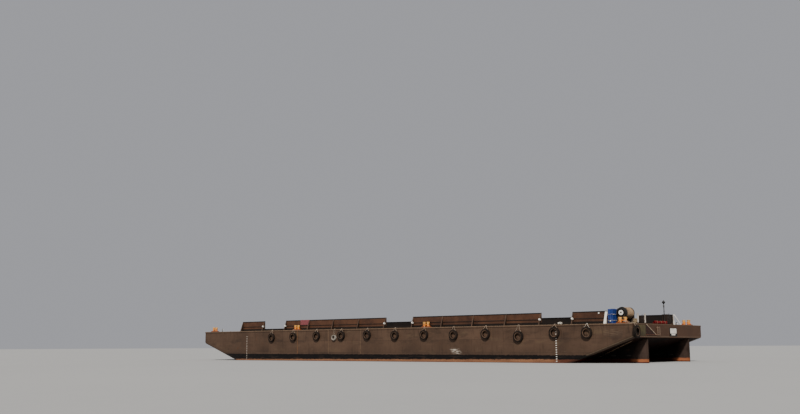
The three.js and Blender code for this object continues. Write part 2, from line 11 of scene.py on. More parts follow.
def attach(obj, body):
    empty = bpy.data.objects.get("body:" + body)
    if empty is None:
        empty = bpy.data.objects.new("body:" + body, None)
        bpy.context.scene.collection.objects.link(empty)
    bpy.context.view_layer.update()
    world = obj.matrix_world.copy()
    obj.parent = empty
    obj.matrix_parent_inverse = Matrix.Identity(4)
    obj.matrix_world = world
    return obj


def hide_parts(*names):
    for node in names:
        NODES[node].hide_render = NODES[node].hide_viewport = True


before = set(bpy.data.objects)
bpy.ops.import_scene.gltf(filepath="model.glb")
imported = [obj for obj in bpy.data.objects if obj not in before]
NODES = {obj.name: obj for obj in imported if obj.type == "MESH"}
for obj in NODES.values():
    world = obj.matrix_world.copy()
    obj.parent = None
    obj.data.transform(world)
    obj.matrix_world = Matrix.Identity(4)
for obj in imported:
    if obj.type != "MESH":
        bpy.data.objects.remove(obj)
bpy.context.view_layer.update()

# Main sizes of the barge, the same as in the CAD part.
WATER = 0.34
DECK = 2.44
HALF_BEAM = 4.575
STERN = 17.42485
BOW = -17.62515
GAP = 0.0003
SIDES = {"near": -1, "far": 1}
FRAME_SPACING = 0.3048


def mm(text):
    """Points given in millimetres, or shares given in thousandths."""
    return [tuple(float(n) / 1000 for n in point.split()) for point in text.split(",")]


def ripple(x, y, z):
    """Smooth noise between -1 and 1 at a place."""
    return noise.noise(Vector((x, y, z)))


def aft(full_metres):
    """Place along the model of a point given in full-size metres from the transom."""
    return STERN + full_metres / 2


def new_object(name, data):
    made = bpy.data.objects.new(name, data)
    bpy.context.scene.collection.objects.link(made)
    return made


# Camera, light and floor

CAMERA_PLACE = Vector((39.017, -49.723, 1.288))
CAMERA_LENS = 41.44
CAMERA_ANGLES = (39.591, 8.607, -0.2649)


def make_camera():
    data = bpy.data.cameras.new("photo_camera")
    data.lens = CAMERA_LENS
    data.sensor_width = 36.0
    data.clip_start = 0.5
    data.clip_end = 3000.0
    turn, rise, roll = (radians(angle) for angle in CAMERA_ANGLES)
    ahead = Vector((-sin(turn) * cos(rise), cos(turn) * cos(rise), sin(rise)))
    level = Vector((cos(turn), sin(turn), 0.0))
    upright = level.cross(ahead)
    right = level * cos(roll) + upright * sin(roll)
    top = upright * cos(roll) - level * sin(roll)
    camera = bpy.data.objects.new("photo_camera", data)
    columns = (right, top, -ahead, CAMERA_PLACE)
    camera.matrix_world = Matrix([[c[i] for c in columns] for i in range(3)] + [[0, 0, 0, 1]])
    bpy.context.scene.collection.objects.link(camera)
    bpy.context.scene.camera = camera


def make_light():
    """One soft sun from the near side and astern, and an even pale sky."""
    lamp = bpy.data.lights.new("soft_sun", "SUN")
    lamp.energy = 4.1
    lamp.angle = radians(5)
    lamp.color = (1.0, 0.955, 0.89)
    sun = bpy.data.objects.new("soft_sun", lamp)
    sun.rotation_mode = "QUATERNION"
    sun.rotation_quaternion = Vector((0.397, -0.642, 0.656)).to_track_quat("Z", "Y")
    bpy.context.scene.collection.objects.link(sun)
    world = bpy.data.worlds.new("pale_sky")
    world.use_nodes = True
    sky = world.node_tree.nodes["Background"]
    sky.inputs["Color"].default_value = (0.88, 0.89, 0.95, 1.0)
    sky.inputs["Strength"].default_value = 0.42
    bpy.context.scene.world = world


make_camera()
make_light()


# Shader wiring


def operator(kind, swapped=False):
    """A sign between two amounts, worked out by a maths node."""
    def work(self, other):
        return self.wiring.calc(kind, *((other, self) if swapped else (self, other)))
    return work


class Amount:
    """What comes out of a socket, in a form that sums can be written with."""

    __add__, __radd__ = operator("ADD"), operator("ADD", True)
    __sub__, __rsub__ = operator("SUBTRACT"), operator("SUBTRACT", True)
    __mul__, __rmul__ = operator("MULTIPLY"), operator("MULTIPLY", True)
    __truediv__, __rtruediv__ = operator("DIVIDE"), operator("DIVIDE", True)

    def __init__(self, wiring, socket):
        self.wiring = wiring
        self.socket = socket

    def __abs__(self):
        return self.wiring.calc("ABSOLUTE", self)


class Outlets:
    """The outputs of a node, by name."""

    def __init__(self, wiring, node):
        self.wiring = wiring
        self.node = node

    def __getitem__(self, name):
        return Amount(self.wiring, self.node.outputs[name])


class Wiring:
    """Adds nodes to one node tree and joins them up."""

    def __init__(self, tree):
        self.tree = tree

    def put(self, socket, value):
        if isinstance(value, Amount):
            self.tree.links.new(value.socket, socket)
        else:
            socket.default_value = value

    def node(self, kind, inputs=(), **settings):
        made = self.tree.nodes.new(kind)
        for name, value in settings.items():
            setattr(made, name, value)
        for name, value in dict(inputs).items():
            self.put(made.inputs[name], value)
        return Outlets(self, made)

    def get(self, kind, inputs=(), output=0, **settings):
        """One output of a new node."""
        return self.node(kind, inputs, **settings)[output]

    def calc(self, operation, *values):
        return self.get("ShaderNodeMath", enumerate(values), operation=operation)

    def vector(self, operation, *values):
        output = "Value" if operation in ("DOT_PRODUCT", "LENGTH") else "Vector"
        return self.get("ShaderNodeVectorMath", enumerate(values), output, operation=operation)

    def apart(self, vector):
        return self.node("ShaderNodeSeparateXYZ", {"Vector": vector})

    def joined(self, x=0.0, y=0.0, z=0.0):
        return self.get("ShaderNodeCombineXYZ", {"X": x, "Y": y, "Z": z})

    def mix(self, factor, first, second):
        """Mixes two colours. Three numbers are a colour as it looks on a screen, 0 to 255."""
        first, second = (rgb(*c) if isinstance(c, tuple) else c for c in (first, second))
        return self.get("ShaderNodeMix", {0: factor, 6: first, 7: second}, 2, data_type="RGBA")

    def blend(self, factor, first, second):
        return self.get("ShaderNodeMix", {0: factor, 2: first, 3: second}, data_type="FLOAT")

    def noise(self, vector, scale, detail=4.0, rough=0.55, twist=0.0):
        """Soft noise. The scale may be three numbers, one for each direction."""
        if isinstance(scale, tuple):
            vector, scale = self.vector("MULTIPLY", vector, scale), 1.0
        sizes = {"Vector": vector, "Scale": scale, "Detail": detail, "Roughness": rough, "Distortion": twist}
        return self.get("ShaderNodeTexNoise", sizes, "Fac")

    def remap(self, value, low, high, new_low=0.0, new_high=1.0):
        values = enumerate((value, low, high, new_low, new_high))
        return self.get("ShaderNodeMapRange", values, interpolation_type="SMOOTHSTEP")

    def band(self, value, low, high, soft):
        """1 between low and high, 0 outside, with soft edges."""
        up = self.remap(value, low - soft, low + soft)
        return up * self.remap(value, high - soft, high + soft, 1.0, 0.0)

    def bump(self, height, distance):
        return self.get("ShaderNodeBump", {"Height": height, "Distance": distance, "Strength": 1.0})

    def close(self, **values):
        """Ends a shader effect: gives it its outputs and returns its tree."""
        for label in values:
            kind = "NodeSocketColor" if label == "Colour" else "NodeSocketFloat"
            self.tree.interface.new_socket(name=label, in_out="OUTPUT", socket_type=kind)
        self.node("NodeGroupOutput", values)
        return self.tree


def new_inputs(tree, **inputs):
    """Gives a tree its inputs. Returns its wiring and what comes in."""
    kinds = {float: "Float", int: "Int"}
    for label, value in inputs.items():
        kind = kinds.get(type(value), value)
        socket = tree.interface.new_socket(name=label.replace("_", " "), in_out="INPUT",
                                           socket_type="NodeSocket" + kind)
        if kind != value:
            socket.default_value = value
    wiring = Wiring(tree)
    return wiring, wiring.node("NodeGroupInput")


def new_effect(name, **inputs):
    """An empty shader effect."""
    return new_inputs(bpy.data.node_groups.new(name, "ShaderNodeTree"), **inputs)


def rgb(red, green, blue):
    """A colour given as it looks on a screen, 0 to 255, in the numbers that shaders use."""
    linear = [c / 255 / 12.92 if c <= 10 else ((c / 255 + 0.055) / 1.055) ** 2.4 for c in (red, green, blue)]
    return (*linear, 1.0)


# Shader effects that several finishes share


def make_plate_seams():
    """Welded plates laid in rows: a tone for each plate, its weld lines, and its pull between the welds."""
    w, given = new_effect(
        "plate_seams", Place="Vector", Plate_Length=1.83, Plate_Height=0.61, Weld_Width=0.012)
    plates = w.node("ShaderNodeTexBrick", {
        "Vector": given["Place"], "Color1": (0, 0, 0, 1), "Color2": (1, 1, 1, 1),
        "Mortar": (0.5, 0.5, 0.5, 1), "Scale": 1.0, "Mortar Size": given["Weld Width"],
        "Mortar Smooth": 0.4, "Bias": 0.0, "Brick Width": given["Plate Length"],
        "Row Height": given["Plate Height"]})
    beads = w.noise(given["Place"], 140.0, 2.0)
    bead_height = plates["Fac"] * w.remap(beads, 0.3, 0.7, 0.6, 1.0)
    return w.close(Tone=w.apart(plates["Color"])["X"], Weld=plates["Fac"], Height=bead_height)


def make_rust():
    """Rust that breaks through in patches, deep brown in the middle and warmer at the rim."""
    w, given = new_effect("rust", Place="Vector", Patch_Size=0.4, Amount=0.3)
    frequency = 1.0 / given["Patch Size"]
    patches = w.noise(given["Place"], frequency, 7.0, 0.62, 0.35)
    edge = 0.72 - given["Amount"] * 0.42
    mask = w.remap(patches, edge, edge + 0.13)
    depth = w.remap(patches, edge, edge + 0.2)
    grit = w.noise(given["Place"], frequency * 22.0, 5.0, 0.7)
    tone = depth * 0.6 + grit * 0.5
    warm = w.mix(w.remap(tone, 0.25, 0.8), (98, 58, 34), (50, 31, 22))
    return w.close(Mask=mask,
                        Colour=w.mix(w.remap(grit, 0.62, 0.8), warm, (122, 78, 48)),
                        Height=mask * (grit + 0.4))


def make_rain_streaks():
    """Streaks that run down a wall. Place is across and up the wall."""
    w, given = new_effect("rain_streaks", Place="Vector", Streak_Width=0.06, Streak_Length=1.2, Amount=0.4)
    place = w.apart(given["Place"])
    across = place["X"] / given["Streak Width"]
    wander = w.noise(given["Place"], 1.3, 2.0) * 1.6
    down = place["Y"] / given["Streak Length"]
    lines = w.noise(w.joined(across + wander, down, place["Z"]), 1.0, 4.0, 0.6)
    areas = w.noise(given["Place"], 0.7, 3.0)
    edge = 0.74 - given["Amount"] * 0.34
    drawn = w.remap(lines, edge, edge + 0.16)
    return w.close(Mask=drawn * w.remap(areas, 0.34, 0.6))


def make_worn_edges():
    """Bare metal and chipped paint along outward corners, broken up by noise."""
    w, given = new_effect("worn_edges", Place="Vector", Radius=0.012, Chip_Size=0.03)
    rounded = w.get("ShaderNodeBevel", {"Radius": given["Radius"]}, samples=4)
    plain = w.get("ShaderNodeNewGeometry", output="Normal")
    turned = 1.0 - w.vector("DOT_PRODUCT", rounded, plain)
    chips = w.noise(given["Place"], 1.0 / given["Chip Size"], 5.0, 0.65)
    broken = w.remap(turned, 0.015, 0.16) * w.remap(chips, 0.36, 0.56)
    return w.close(Mask=broken)


def make_settled_dust():
    """Dust and grit on what faces upwards, thicker in some places."""
    w, given = new_effect("settled_dust", Place="Vector", Amount=0.5)
    up = w.apart(w.get("ShaderNodeNewGeometry", output="Normal"))["Z"]
    areas = w.noise(given["Place"], 1.9, 5.0, 0.6)
    grains = w.noise(given["Place"], 90.0, 3.0, 0.7)
    loose = areas * 0.75 + grains * 0.25
    edge = 0.85 - given["Amount"] * 0.6
    mask = w.remap(up, 0.25, 0.9) * w.remap(loose, edge, edge + 0.2)
    return w.close(Mask=mask, Height=mask * grains)


def make_paint_skin():
    """Brushed and rolled paint: slow changes of tone and a fine uneven skin."""
    w, given = new_effect("paint_skin", Place="Vector", Tone_Size=1.2, Grain_Size=0.012)
    slow = w.noise(given["Place"], 1.0 / given["Tone Size"], 6.0, 0.6)
    fine = w.noise(given["Place"], 1.0 / given["Grain Size"], 3.0, 0.6)
    return w.close(Tone=w.remap(slow, 0.25, 0.75), Height=fine)


def make_cloth_weave():
    """Plain weave from a UV map in metres: threads over and under, and slubs in the yarn."""
    w, given = new_effect("cloth_weave", Map="Vector", Thread=0.004)
    place = w.apart(given["Map"])
    turn = pi / given["Thread"]
    warp = w.calc("SINE", place["X"] * turn)
    weft = w.calc("SINE", place["Y"] * turn)
    crossing = warp * weft
    slubs = w.noise(given["Map"], (180.0, 14.0, 1.0), 3.0)
    return w.close(Height=crossing * 0.5 + 0.5, Yarn=slubs)


PLATE_SEAMS = make_plate_seams()
RUST = make_rust()
RAIN_STREAKS = make_rain_streaks()
WORN_EDGES = make_worn_edges()
SETTLED_DUST = make_settled_dust()
PAINT_SKIN = make_paint_skin()
CLOTH_WEAVE = make_cloth_weave()


# Finishes


class Finish(Wiring):
    """A material: one Principled shader and the coordinates that its pattern is laid on."""

    def __init__(self, name):
        self.material = bpy.data.materials.new(name)
        self.material.use_nodes = True
        super().__init__(self.material.node_tree)
        self.shader = self.tree.nodes["Principled BSDF"]
        coordinates = self.node("ShaderNodeTexCoord")
        self.place = coordinates["Object"]
        self.map = coordinates["UV"]
        self.facing = self.get("ShaderNodeNewGeometry", output="Normal")

    def grain(self, scale, *detail):
        """Noise on the finish's own place."""
        return self.noise(self.place, scale, *detail)

    def on_walls(self):
        """Across and up a wall: the first number is X along a side and Y along an end."""
        at = self.apart(self.place)
        end = self.calc("GREATER_THAN", abs(self.apart(self.facing)["X"]), 0.6)
        return self.joined(self.blend(end, at["X"], at["Y"]), at["Z"], end)

    def coat(self, share, *tint):
        """Lays a colour over the others, by its share from 0 to 1."""
        self.colour = self.mix(share, self.colour, tint if len(tint) == 3 else tint[0])

    def effect(self, group, **inputs):
        """A shared effect, laid on the finish's own place or map if no other is given."""
        made = self.node("ShaderNodeGroup", node_tree=group)
        for name in made.node.inputs.keys():
            given = {"Place": self.place, "Map": self.map, **inputs}.get(name.replace(" ", "_"))
            if given is not None:
                self.put(made.node.inputs[name], given)
        return made

    def set(self, **values):
        for name, value in {"Base_Color": self.colour, **values}.items():
            self.put(self.shader.inputs[name.replace("_", " ")], value)
        return self.material


def make_hull_side_finish():
    """Brown plating, run with rain and scraped by fenders, over a black band and salmon bottom paint, with
    painted shade on the end faces and low down.
    """
    f = Finish("hull_side")
    wall = f.on_walls()
    walls = f.apart(wall)
    across, end = walls["X"], walls["Z"]
    at = f.apart(f.place)
    seams = f.effect(PLATE_SEAMS, Place=f.vector("ADD", wall, (-1.25, -0.154, 0.0)), Plate_Length=2.94,
                     Plate_Height=0.762, Weld_Width=0.009)
    paint = f.effect(PAINT_SKIN, Tone_Size=1.6, Grain_Size=0.02)
    rust = f.effect(RUST, Patch_Size=0.5, Amount=0.16)
    dark_runs = f.effect(RAIN_STREAKS, Place=wall, Streak_Width=0.07, Streak_Length=1.5, Amount=0.62)
    rust_runs = f.effect(RAIN_STREAKS, Place=f.vector("ADD", wall, (7.3, 2.1, 3.0)),
                         Streak_Width=0.045, Streak_Length=1.1, Amount=0.42)
    pale_runs = f.effect(RAIN_STREAKS, Place=f.vector("ADD", wall, (3.1, 5.7, 9.0)),
                         Streak_Width=0.12, Streak_Length=0.9, Amount=0.3)
    rubs = f.noise(wall, (0.7, 7.5, 1.0), 5.0, 0.65)
    blotches = f.noise(wall, (0.55, 1.6, 1.0), 4.0, 0.6)
    tone = paint["Tone"] * 0.6 + seams["Tone"] * 0.4
    f.colour = f.mix(tone, (61, 46, 36), (92, 71, 56))
    f.coat(f.remap(blotches, 0.55, 0.72, 0.0, 0.5), 94, 77, 58)
    f.coat(f.remap(blotches, 0.42, 0.28, 0.0, 0.5), 52, 38, 28)
    f.coat(dark_runs["Mask"] * 0.6, 38, 27, 20)
    f.coat(rust_runs["Mask"] * 0.6, 96, 56, 32)
    f.coat(pale_runs["Mask"] * 0.4, 124, 104, 82)
    f.coat(f.remap(rubs, 0.64, 0.76, 0.0, 0.5), 128, 108, 86)
    f.coat(f.remap(rubs, 0.36, 0.24, 0.0, 0.6), 31, 24, 19)
    f.coat(seams["Weld"] * 0.45, 44, 31, 22)
    f.coat(rust["Mask"], rust["Colour"])
    # Painted shade, with a yellower tone: the end faces are darker than the sides.
    f.coat(end * 0.5, 66, 36, 12)
    # Painted shade: the side darkens towards the water, to hold back the light thrown up from the floor.
    f.coat(f.remap(at["Z"], 1.5, 0.75, 0.0, 0.28), 44, 34, 28)
    # Small chips down to rust, and specks of black.
    flakes = f.noise(wall, (5.0, 9.0, 1.0), 8.0, 0.78)
    f.coat(f.remap(flakes, 0.62, 0.67, 0.0, 0.65), 86, 46, 28)
    f.coat(f.remap(flakes, 0.38, 0.34, 0.0, 0.6), 32, 25, 21)
    # Fenders and other hulls have rubbed it dark at their height.
    rubbed = (f.band(at["Z"] + blotches * 0.4, 1.6, 2.35, 0.22)
              * f.remap(f.noise(wall, (0.87, 2.6, 1.0), 5.0, 0.62), 0.5, 0.64, 0.0, 0.42))
    f.coat(rubbed * (1.0 - end), 44, 34, 28)
    # Runs of rust below three butt welds amidships, the forward one the strongest.
    for x, width, share, tint in ((-7.6, 0.05, 0.6, (122, 82, 50)), (-4.62, 0.03, 0.45, (124, 100, 76)),
                                  (-1.72, 0.03, 0.45, (124, 100, 76))):
        off = abs(at["X"] + (f.noise(wall, 2.2, 3.0) - 0.5) * (width * 1.6) - x)
        line = f.remap(off, width, width * 0.3) * f.remap(f.noise(wall, 9.0, 4.0), 0.3, 0.55)
        line = line * (1.0 - end)
        f.coat(line * share, tint)
    # A whitish scuff where another hull has lain, and level smears near the stern.
    scuff = f.band(at["X"] + at["Z"] * 0.6, 6.25, 6.85, 0.16) * f.band(at["Z"], 0.86, 1.12, 0.08)
    scraped = f.remap(f.noise(wall, (3.0, 26.0, 1.0), 4.0), 0.46, 0.6)
    f.coat(scuff * scraped * 0.95, 206, 196, 182)
    smear = f.band(at["X"], 15.8, 16.8, 0.3) * f.band(at["Z"], 1.8, 2.15, 0.12)
    f.coat(smear * scraped * 0.16, 140, 124, 104)
    # The deck edge and the round bilge are rubbed pale.
    grain = f.grain(26.0, 4.0)
    edge = f.band(at["Z"], 2.418, 2.45, 0.008) * f.remap(grain, 0.36, 0.56, 0.25, 0.8)
    f.coat(edge, 138, 116, 92)
    rake = f.calc("MAXIMUM", 0.0, at["X"] - 12.7) * 0.357
    bilge = at["Z"] - rake
    chafed = f.band(bilge, 0.045, 0.085, 0.014) * f.remap(at["X"], 12.9, 13.4)
    f.coat(chafed * f.remap(grain, 0.35, 0.6, 0.15, 0.6), 140, 122, 100)
    # Waterline bands. Their edges climb a little towards the stern.
    ragged = f.noise(f.joined(across, 0.0, 0.0), 0.5, 2.0) * 0.05 + f.noise(wall, 5.0, 6.0, 0.75) * 0.16
    height = at["Z"] + 0.105 - ragged
    streaky = f.noise(wall, (9.0, 1.4, 1.0), 3.0) * 0.05
    black_top = 0.765 - at["X"] * 0.0016 + streaky
    black = f.remap(height, black_top + 0.02, black_top - 0.02)
    thin = (f.remap(f.noise(wall, (1.6, 8.0, 1.0), 5.0), 0.5, 0.64)
            * f.remap(height, black_top - 0.05, black_top - 0.12, 0.0, 0.5))
    f.coat(black * (1.0 - thin * 0.5), 7, 4, 4)
    salmon_top = 0.49 + at["X"] * 0.004
    salmon = f.mix(f.noise(wall, (0.8, 7.0, 1.0), 4.0), (92, 58, 42), (158, 112, 80))
    salmon = f.mix(f.remap(at["X"], 12.2, 13.2, 0.0, 0.8), salmon, (62, 20, 12))
    f.coat(f.remap(height, salmon_top + 0.012, salmon_top - 0.012), salmon)
    f.coat(f.remap(at["Z"], 0.375, 0.35), 70, 26, 16)
    f.coat(f.remap(paint["Height"], 0.56, 0.68) * f.remap(height, 0.55, 0.5), 40, 26, 20)
    relief = seams["Height"] + rust["Height"] * 0.35 + paint["Height"] * 0.16
    rough = 0.6 + rust["Mask"] * 0.28 - dark_runs["Mask"] * 0.16
    return f.set(Roughness=rough, Specular_IOR_Level=0.22, Normal=f.bump(relief, 0.004))


def make_hull_bottom_finish():
    """The underside: near-black, partly dark bottom paint and partly painted shade, with dried weed, scale
    and bare rust.
    """
    f = Finish("hull_bottom")
    flat = f.vector("MULTIPLY", f.place, (1.0, 1.0, 0.0))
    seams = f.effect(PLATE_SEAMS, Place=flat, Plate_Length=2.44, Plate_Height=0.762, Weld_Width=0.012)
    paint = f.effect(PAINT_SKIN, Tone_Size=0.9, Grain_Size=0.03)
    rust = f.effect(RUST, Patch_Size=0.35, Amount=0.3)
    spots = f.get("ShaderNodeTexVoronoi", {"Vector": f.place, "Scale": 34.0}, output="Distance")
    # The near-black base colour is partly painted shade for the underside, where the sun does not reach.
    f.colour = f.mix(paint["Tone"], (14, 6, 4), (30, 13, 9))
    low = f.remap(f.apart(f.place)["Z"] + f.grain(1.3, 4.0) * 0.1, 0.64, 0.52)
    f.coat(low * 0.9, 136, 26, 12)
    f.coat(rust["Mask"] * 0.35, rust["Colour"])
    shells = f.remap(spots, 0.2, 0.12) * f.remap(f.grain(1.1, 4.0), 0.52, 0.62)
    f.coat(shells * 0.35, 76, 68, 58)
    f.coat(seams["Weld"] * 0.5, 58, 44, 36)
    # A long pale line of painted reflected light that slants across the stern rake.
    at = f.apart(f.place)
    slant = at["Y"] + 2.43 + (at["X"] - 13.65) * 0.37
    reflected_light_line = f.band(slant, -0.04, 0.04, 0.015) * f.band(at["X"], 13.6, 16.9, 0.1)
    f.coat(reflected_light_line * f.remap(f.grain(9.0, 3.0), 0.3, 0.5, 0.4, 0.95), 172, 146, 118)
    height = seams["Height"] + rust["Height"] * 0.5 + shells
    return f.set(Roughness=0.82, Specular_IOR_Level=0.08, Normal=f.bump(height, 0.004))


def make_deck_finish():
    """Deck plates, worn and rusted, with black dust trodden in where the cargo lies."""
    f = Finish("deck_plating")
    flat = f.vector("MULTIPLY", f.place, (1.0, 1.0, 0.0))
    at = f.apart(f.place)
    seams = f.effect(PLATE_SEAMS, Place=flat, Plate_Length=3.05, Plate_Height=0.915, Weld_Width=0.01)
    paint = f.effect(PAINT_SKIN, Tone_Size=0.8, Grain_Size=0.015)
    rust = f.effect(RUST, Patch_Size=0.42, Amount=0.42)
    drag = f.grain((1.1, 9.0, 1.0), 6.0, 0.68)
    tone = paint["Tone"] * 0.6 + seams["Tone"] * 0.4
    f.colour = f.mix(tone, (78, 66, 57), (112, 96, 82))
    f.coat(rust["Mask"], rust["Colour"])
    f.coat(f.remap(drag, 0.62, 0.76, 0.0, 0.55), 142, 132, 120)
    soft = (f.grain(0.6, 6.0, 0.65) - 0.5) * 1.6
    cargo = f.band(at["X"] + soft, -15.0, 15.4, 0.6) * f.band(at["Y"] + soft, -4.0, 4.0, 0.3)
    dust = cargo * f.remap(f.grain(1.3, 8.0, 0.72), 0.26, 0.72, 0.15, 1.0)
    f.coat(dust * 0.8, 34, 30, 27)
    f.coat(seams["Weld"] * 0.5, 60, 46, 37)
    grains = f.grain(120.0, 3.0, 0.7)
    height = seams["Height"] + rust["Height"] * 0.4 + grains * dust * 0.8
    return f.set(Roughness=0.62 + dust * 0.3, Normal=f.bump(height, 0.004))


def make_floor_finish():
    """Plain pale studio floor with the faint mottling of poured concrete."""
    f = Finish("studio_floor")
    slow = f.grain(0.08, 4.0)
    fine = f.grain(2.0, 5.0)
    f.colour = f.mix(slow * 0.7 + fine * 0.3, (166, 166, 165), (177, 177, 175))
    return f.set(Roughness=0.9)


# Shapes


def smooth_by_angle(mesh, degrees):
    mesh.polygons.foreach_set("use_smooth", [True] * len(mesh.polygons))
    mesh.set_sharp_from_angle(angle=radians(degrees))


class Shape:
    """Points and faces of one piece, gathered part by part."""

    def __init__(self):
        self.points = []
        self.faces = []
        self.slots = []

    def add(self, points, faces, slot=0):
        start = len(self.points)
        self.points += [tuple(p) for p in points]
        self.faces += [[start + i for i in face] for face in faces]
        self.slots += [slot] * len(faces)
        return self

    def box(self, x, y, z, slot=0):
        (x0, x1), (y0, y1), (z0, z1) = sorted(x), sorted(y), sorted(z)
        points = [(a, b, c) for c in (z0, z1) for b in (y0, y1) for a in (x0, x1)]
        faces = [(0, 2, 3, 1), (4, 5, 7, 6), (0, 1, 5, 4), (2, 6, 7, 3), (0, 4, 6, 2), (1, 3, 7, 5)]
        return self.add(points, faces, slot)

    def prism(self, outline, axis, span, slot=0):
        """An outline of the two other coordinates, drawn out along an axis."""
        def point(a, b, c):
            return {"x": (c, a, b), "y": (a, c, b), "z": (a, b, c)}[axis]
        count = len(outline)
        points = [point(a, b, c) for c in span for a, b in outline]
        walls = [(i, (i + 1) % count, (i + 1) % count + count, i + count) for i in range(count)]
        return self.add(points, walls + [tuple(range(count))[::-1], tuple(range(count, 2 * count))], slot)

    def turned(self, profile, centre, axis=(0, 0, 1), segments=32, closed=False, slot=0):
        """A profile of (radius, height) turned about an axis. A radius of 0 is a pole."""
        axis = Vector(axis).normalized()
        side = axis.orthogonal().normalized()
        other = axis.cross(side)
        centre = Vector(centre)
        points, rings = [], []
        for radius, height in profile:
            if radius < 1e-6:
                rings.append([len(points)] * segments)
                points.append(centre + axis * height)
                continue
            rings.append(list(range(len(points), len(points) + segments)))
            points += [centre + axis * height + (side * a + other * b) * radius for a, b in spun(segments)]
        pairs = list(zip(rings, rings[1:])) + ([(rings[-1], rings[0])] if closed else [])
        faces = []
        for low, high in pairs:
            for k in range(segments):
                n = (k + 1) % segments
                face = [low[k], low[n], high[n], high[k]]
                face = [p for i, p in enumerate(face) if p != face[i - 1]]
                if len(face) > 2:
                    faces.append(face)
        return self.add(points, faces, slot)

    def disc(self, radius, span, centre, axis=(0, 0, 1), segments=32, slot=0):
        """A round plate, bolt or pin with flat ends at two heights along its axis."""
        profile = [(0, span[0]), (radius, span[0]), (radius, span[1]), (0, span[1])]
        return self.turned(profile, centre, axis, segments, slot=slot)

    def rod(self, start, end, radius, segments=16, slot=0):
        along = Vector(end) - Vector(start)
        self.disc(radius, (0, along.length), start, along, segments, slot)

    def add_mesh(self, mesh, place=(0, 0, 0), slot=0):
        """Adds the faces of a mesh, moved by a vector or a matrix."""
        if not isinstance(place, Matrix):
            place = Matrix.Translation(place)
        points = [place @ v.co for v in mesh.vertices]
        return self.add(points, [list(p.vertices) for p in mesh.polygons], slot)

    def row(self, source, count, first, step, **where):
        self.add_mesh(built(ROW, source, Count=count, First=first, Step=step), **where)

    def ring(self, source, count, radius, middle, **where):
        self.add_mesh(built(RING, source, Count=count, Radius=radius, Middle=middle), **where)

    def bar(self, line, radius, steps, **where):
        """A round bar bent along a line."""
        self.add_mesh(built(ROUND_BAR, curve_through(line), Radius=radius, Round_Steps=steps), **where)

    def laid(self, line, thickness, lay, ring_step, steps, **where):
        """A laid rope along a line."""
        self.add_mesh(built(LAID_ROPE, curve_through(line), Thickness=thickness, Lay_Length=lay,
                            Ring_Step=ring_step, Round_Steps=steps), **where)

    def mesh(self, name):
        mesh = bpy.data.meshes.new(name)
        mesh.from_pydata(self.points, [], self.faces)
        mesh.polygons.foreach_set("material_index", self.slots)
        work = bmesh.new()
        work.from_mesh(mesh)
        bmesh.ops.remove_doubles(work, verts=work.verts, dist=1e-6)
        bmesh.ops.recalc_face_normals(work, faces=work.faces)
        work.to_mesh(mesh)
        work.free()
        return mesh


def grid_faces(rows, columns, closed=False):
    """Faces between rows of points. Closed rows end where they start."""
    faces = []
    for low in range(0, (rows - 1) * columns, columns):
        for k in range(columns if closed else columns - 1):
            n = (k + 1) % columns
            faces.append((low + k, low + n, low + columns + n, low + columns + k))
    return faces


def spun(count, radius=1.0, start=0.0):
    """Places at equal steps round a circle."""
    turns = [start + 2 * pi * k / count for k in range(count)]
    return [(cos(turn) * radius, sin(turn) * radius) for turn in turns]


def as_mesh(source):
    return source.mesh("part") if isinstance(source, Shape) else source


def plain_copy(piece):
    """The piece with its modifiers worked into a plain mesh."""
    bpy.context.view_layer.update()
    worked = piece.evaluated_get(bpy.context.evaluated_depsgraph_get())
    mesh = bpy.data.meshes.new_from_object(worked)
    old = piece.data
    piece.modifiers.clear()
    piece.data = mesh
    mesh.name = piece.name
    bpy.data.meshes.remove(old)
    return piece


def new_piece(name, mesh, finishes, body="barge", bevel=0.0, steps=1, sharp=35, replaces=None):
    """One finished piece of the barge: its object, finish, rounded edges and body."""
    piece = new_object(name, as_mesh(mesh))
    # Clearing also forgets which face has which finish, so it is done only where there are old finishes.
    if piece.data.materials:
        piece.data.materials.clear()
    for finish in finishes if isinstance(finishes, (list, tuple)) else [finishes]:
        piece.data.materials.append(finish)
    if bevel:
        rounded = piece.modifiers.new("rounded_edges", "BEVEL")
        rounded.width = bevel
        rounded.segments = steps
        rounded.limit_method = "ANGLE"
        rounded.angle_limit = radians(32)
        rounded.use_clamp_overlap = True
        plain_copy(piece)
    smooth_by_angle(piece.data, sharp)
    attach(piece, body)
    if replaces:
        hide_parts(replaces)
    return piece


def refinish(node, finish):
    """Gives a CAD node that keeps its own shape a better finish."""
    data = NODES[node].data
    data.materials.clear()
    data.materials.append(finish)


# Floor


def make_floor():
    mesh = bpy.data.meshes.new("studio_floor")
    ring = [(x, y, WATER) for x, y in spun(48, 900.0)]
    mesh.from_pydata(ring, [], [tuple(range(48))])
    floor = new_object("studio_floor", mesh)
    mesh.materials.append(make_floor_finish())


# Hull

RAKES = {"stern": (STERN, 1, 4.76, 1.70), "bow": (BOW, -1, 4.50, 1.55)}
KNUCKLE_RADIUS = 1.5
BILGE_RADIUS = 0.15


def keel_height(x):
    """Height of the hull's flat bottom and raked ends above the base line."""
    end, toward, length, rise = RAKES["stern" if x > 0 else "bow"]
    slope = atan2(rise, length)
    reach = KNUCKLE_RADIUS * tan(slope / 2)
    past = (x - (end - toward * length)) * toward
    if past <= -reach:
        return 0.0
    if past >= reach * cos(slope):
        return past * tan(slope)
    run = past + reach
    return KNUCKLE_RADIUS - sqrt(KNUCKLE_RADIUS ** 2 - run ** 2)


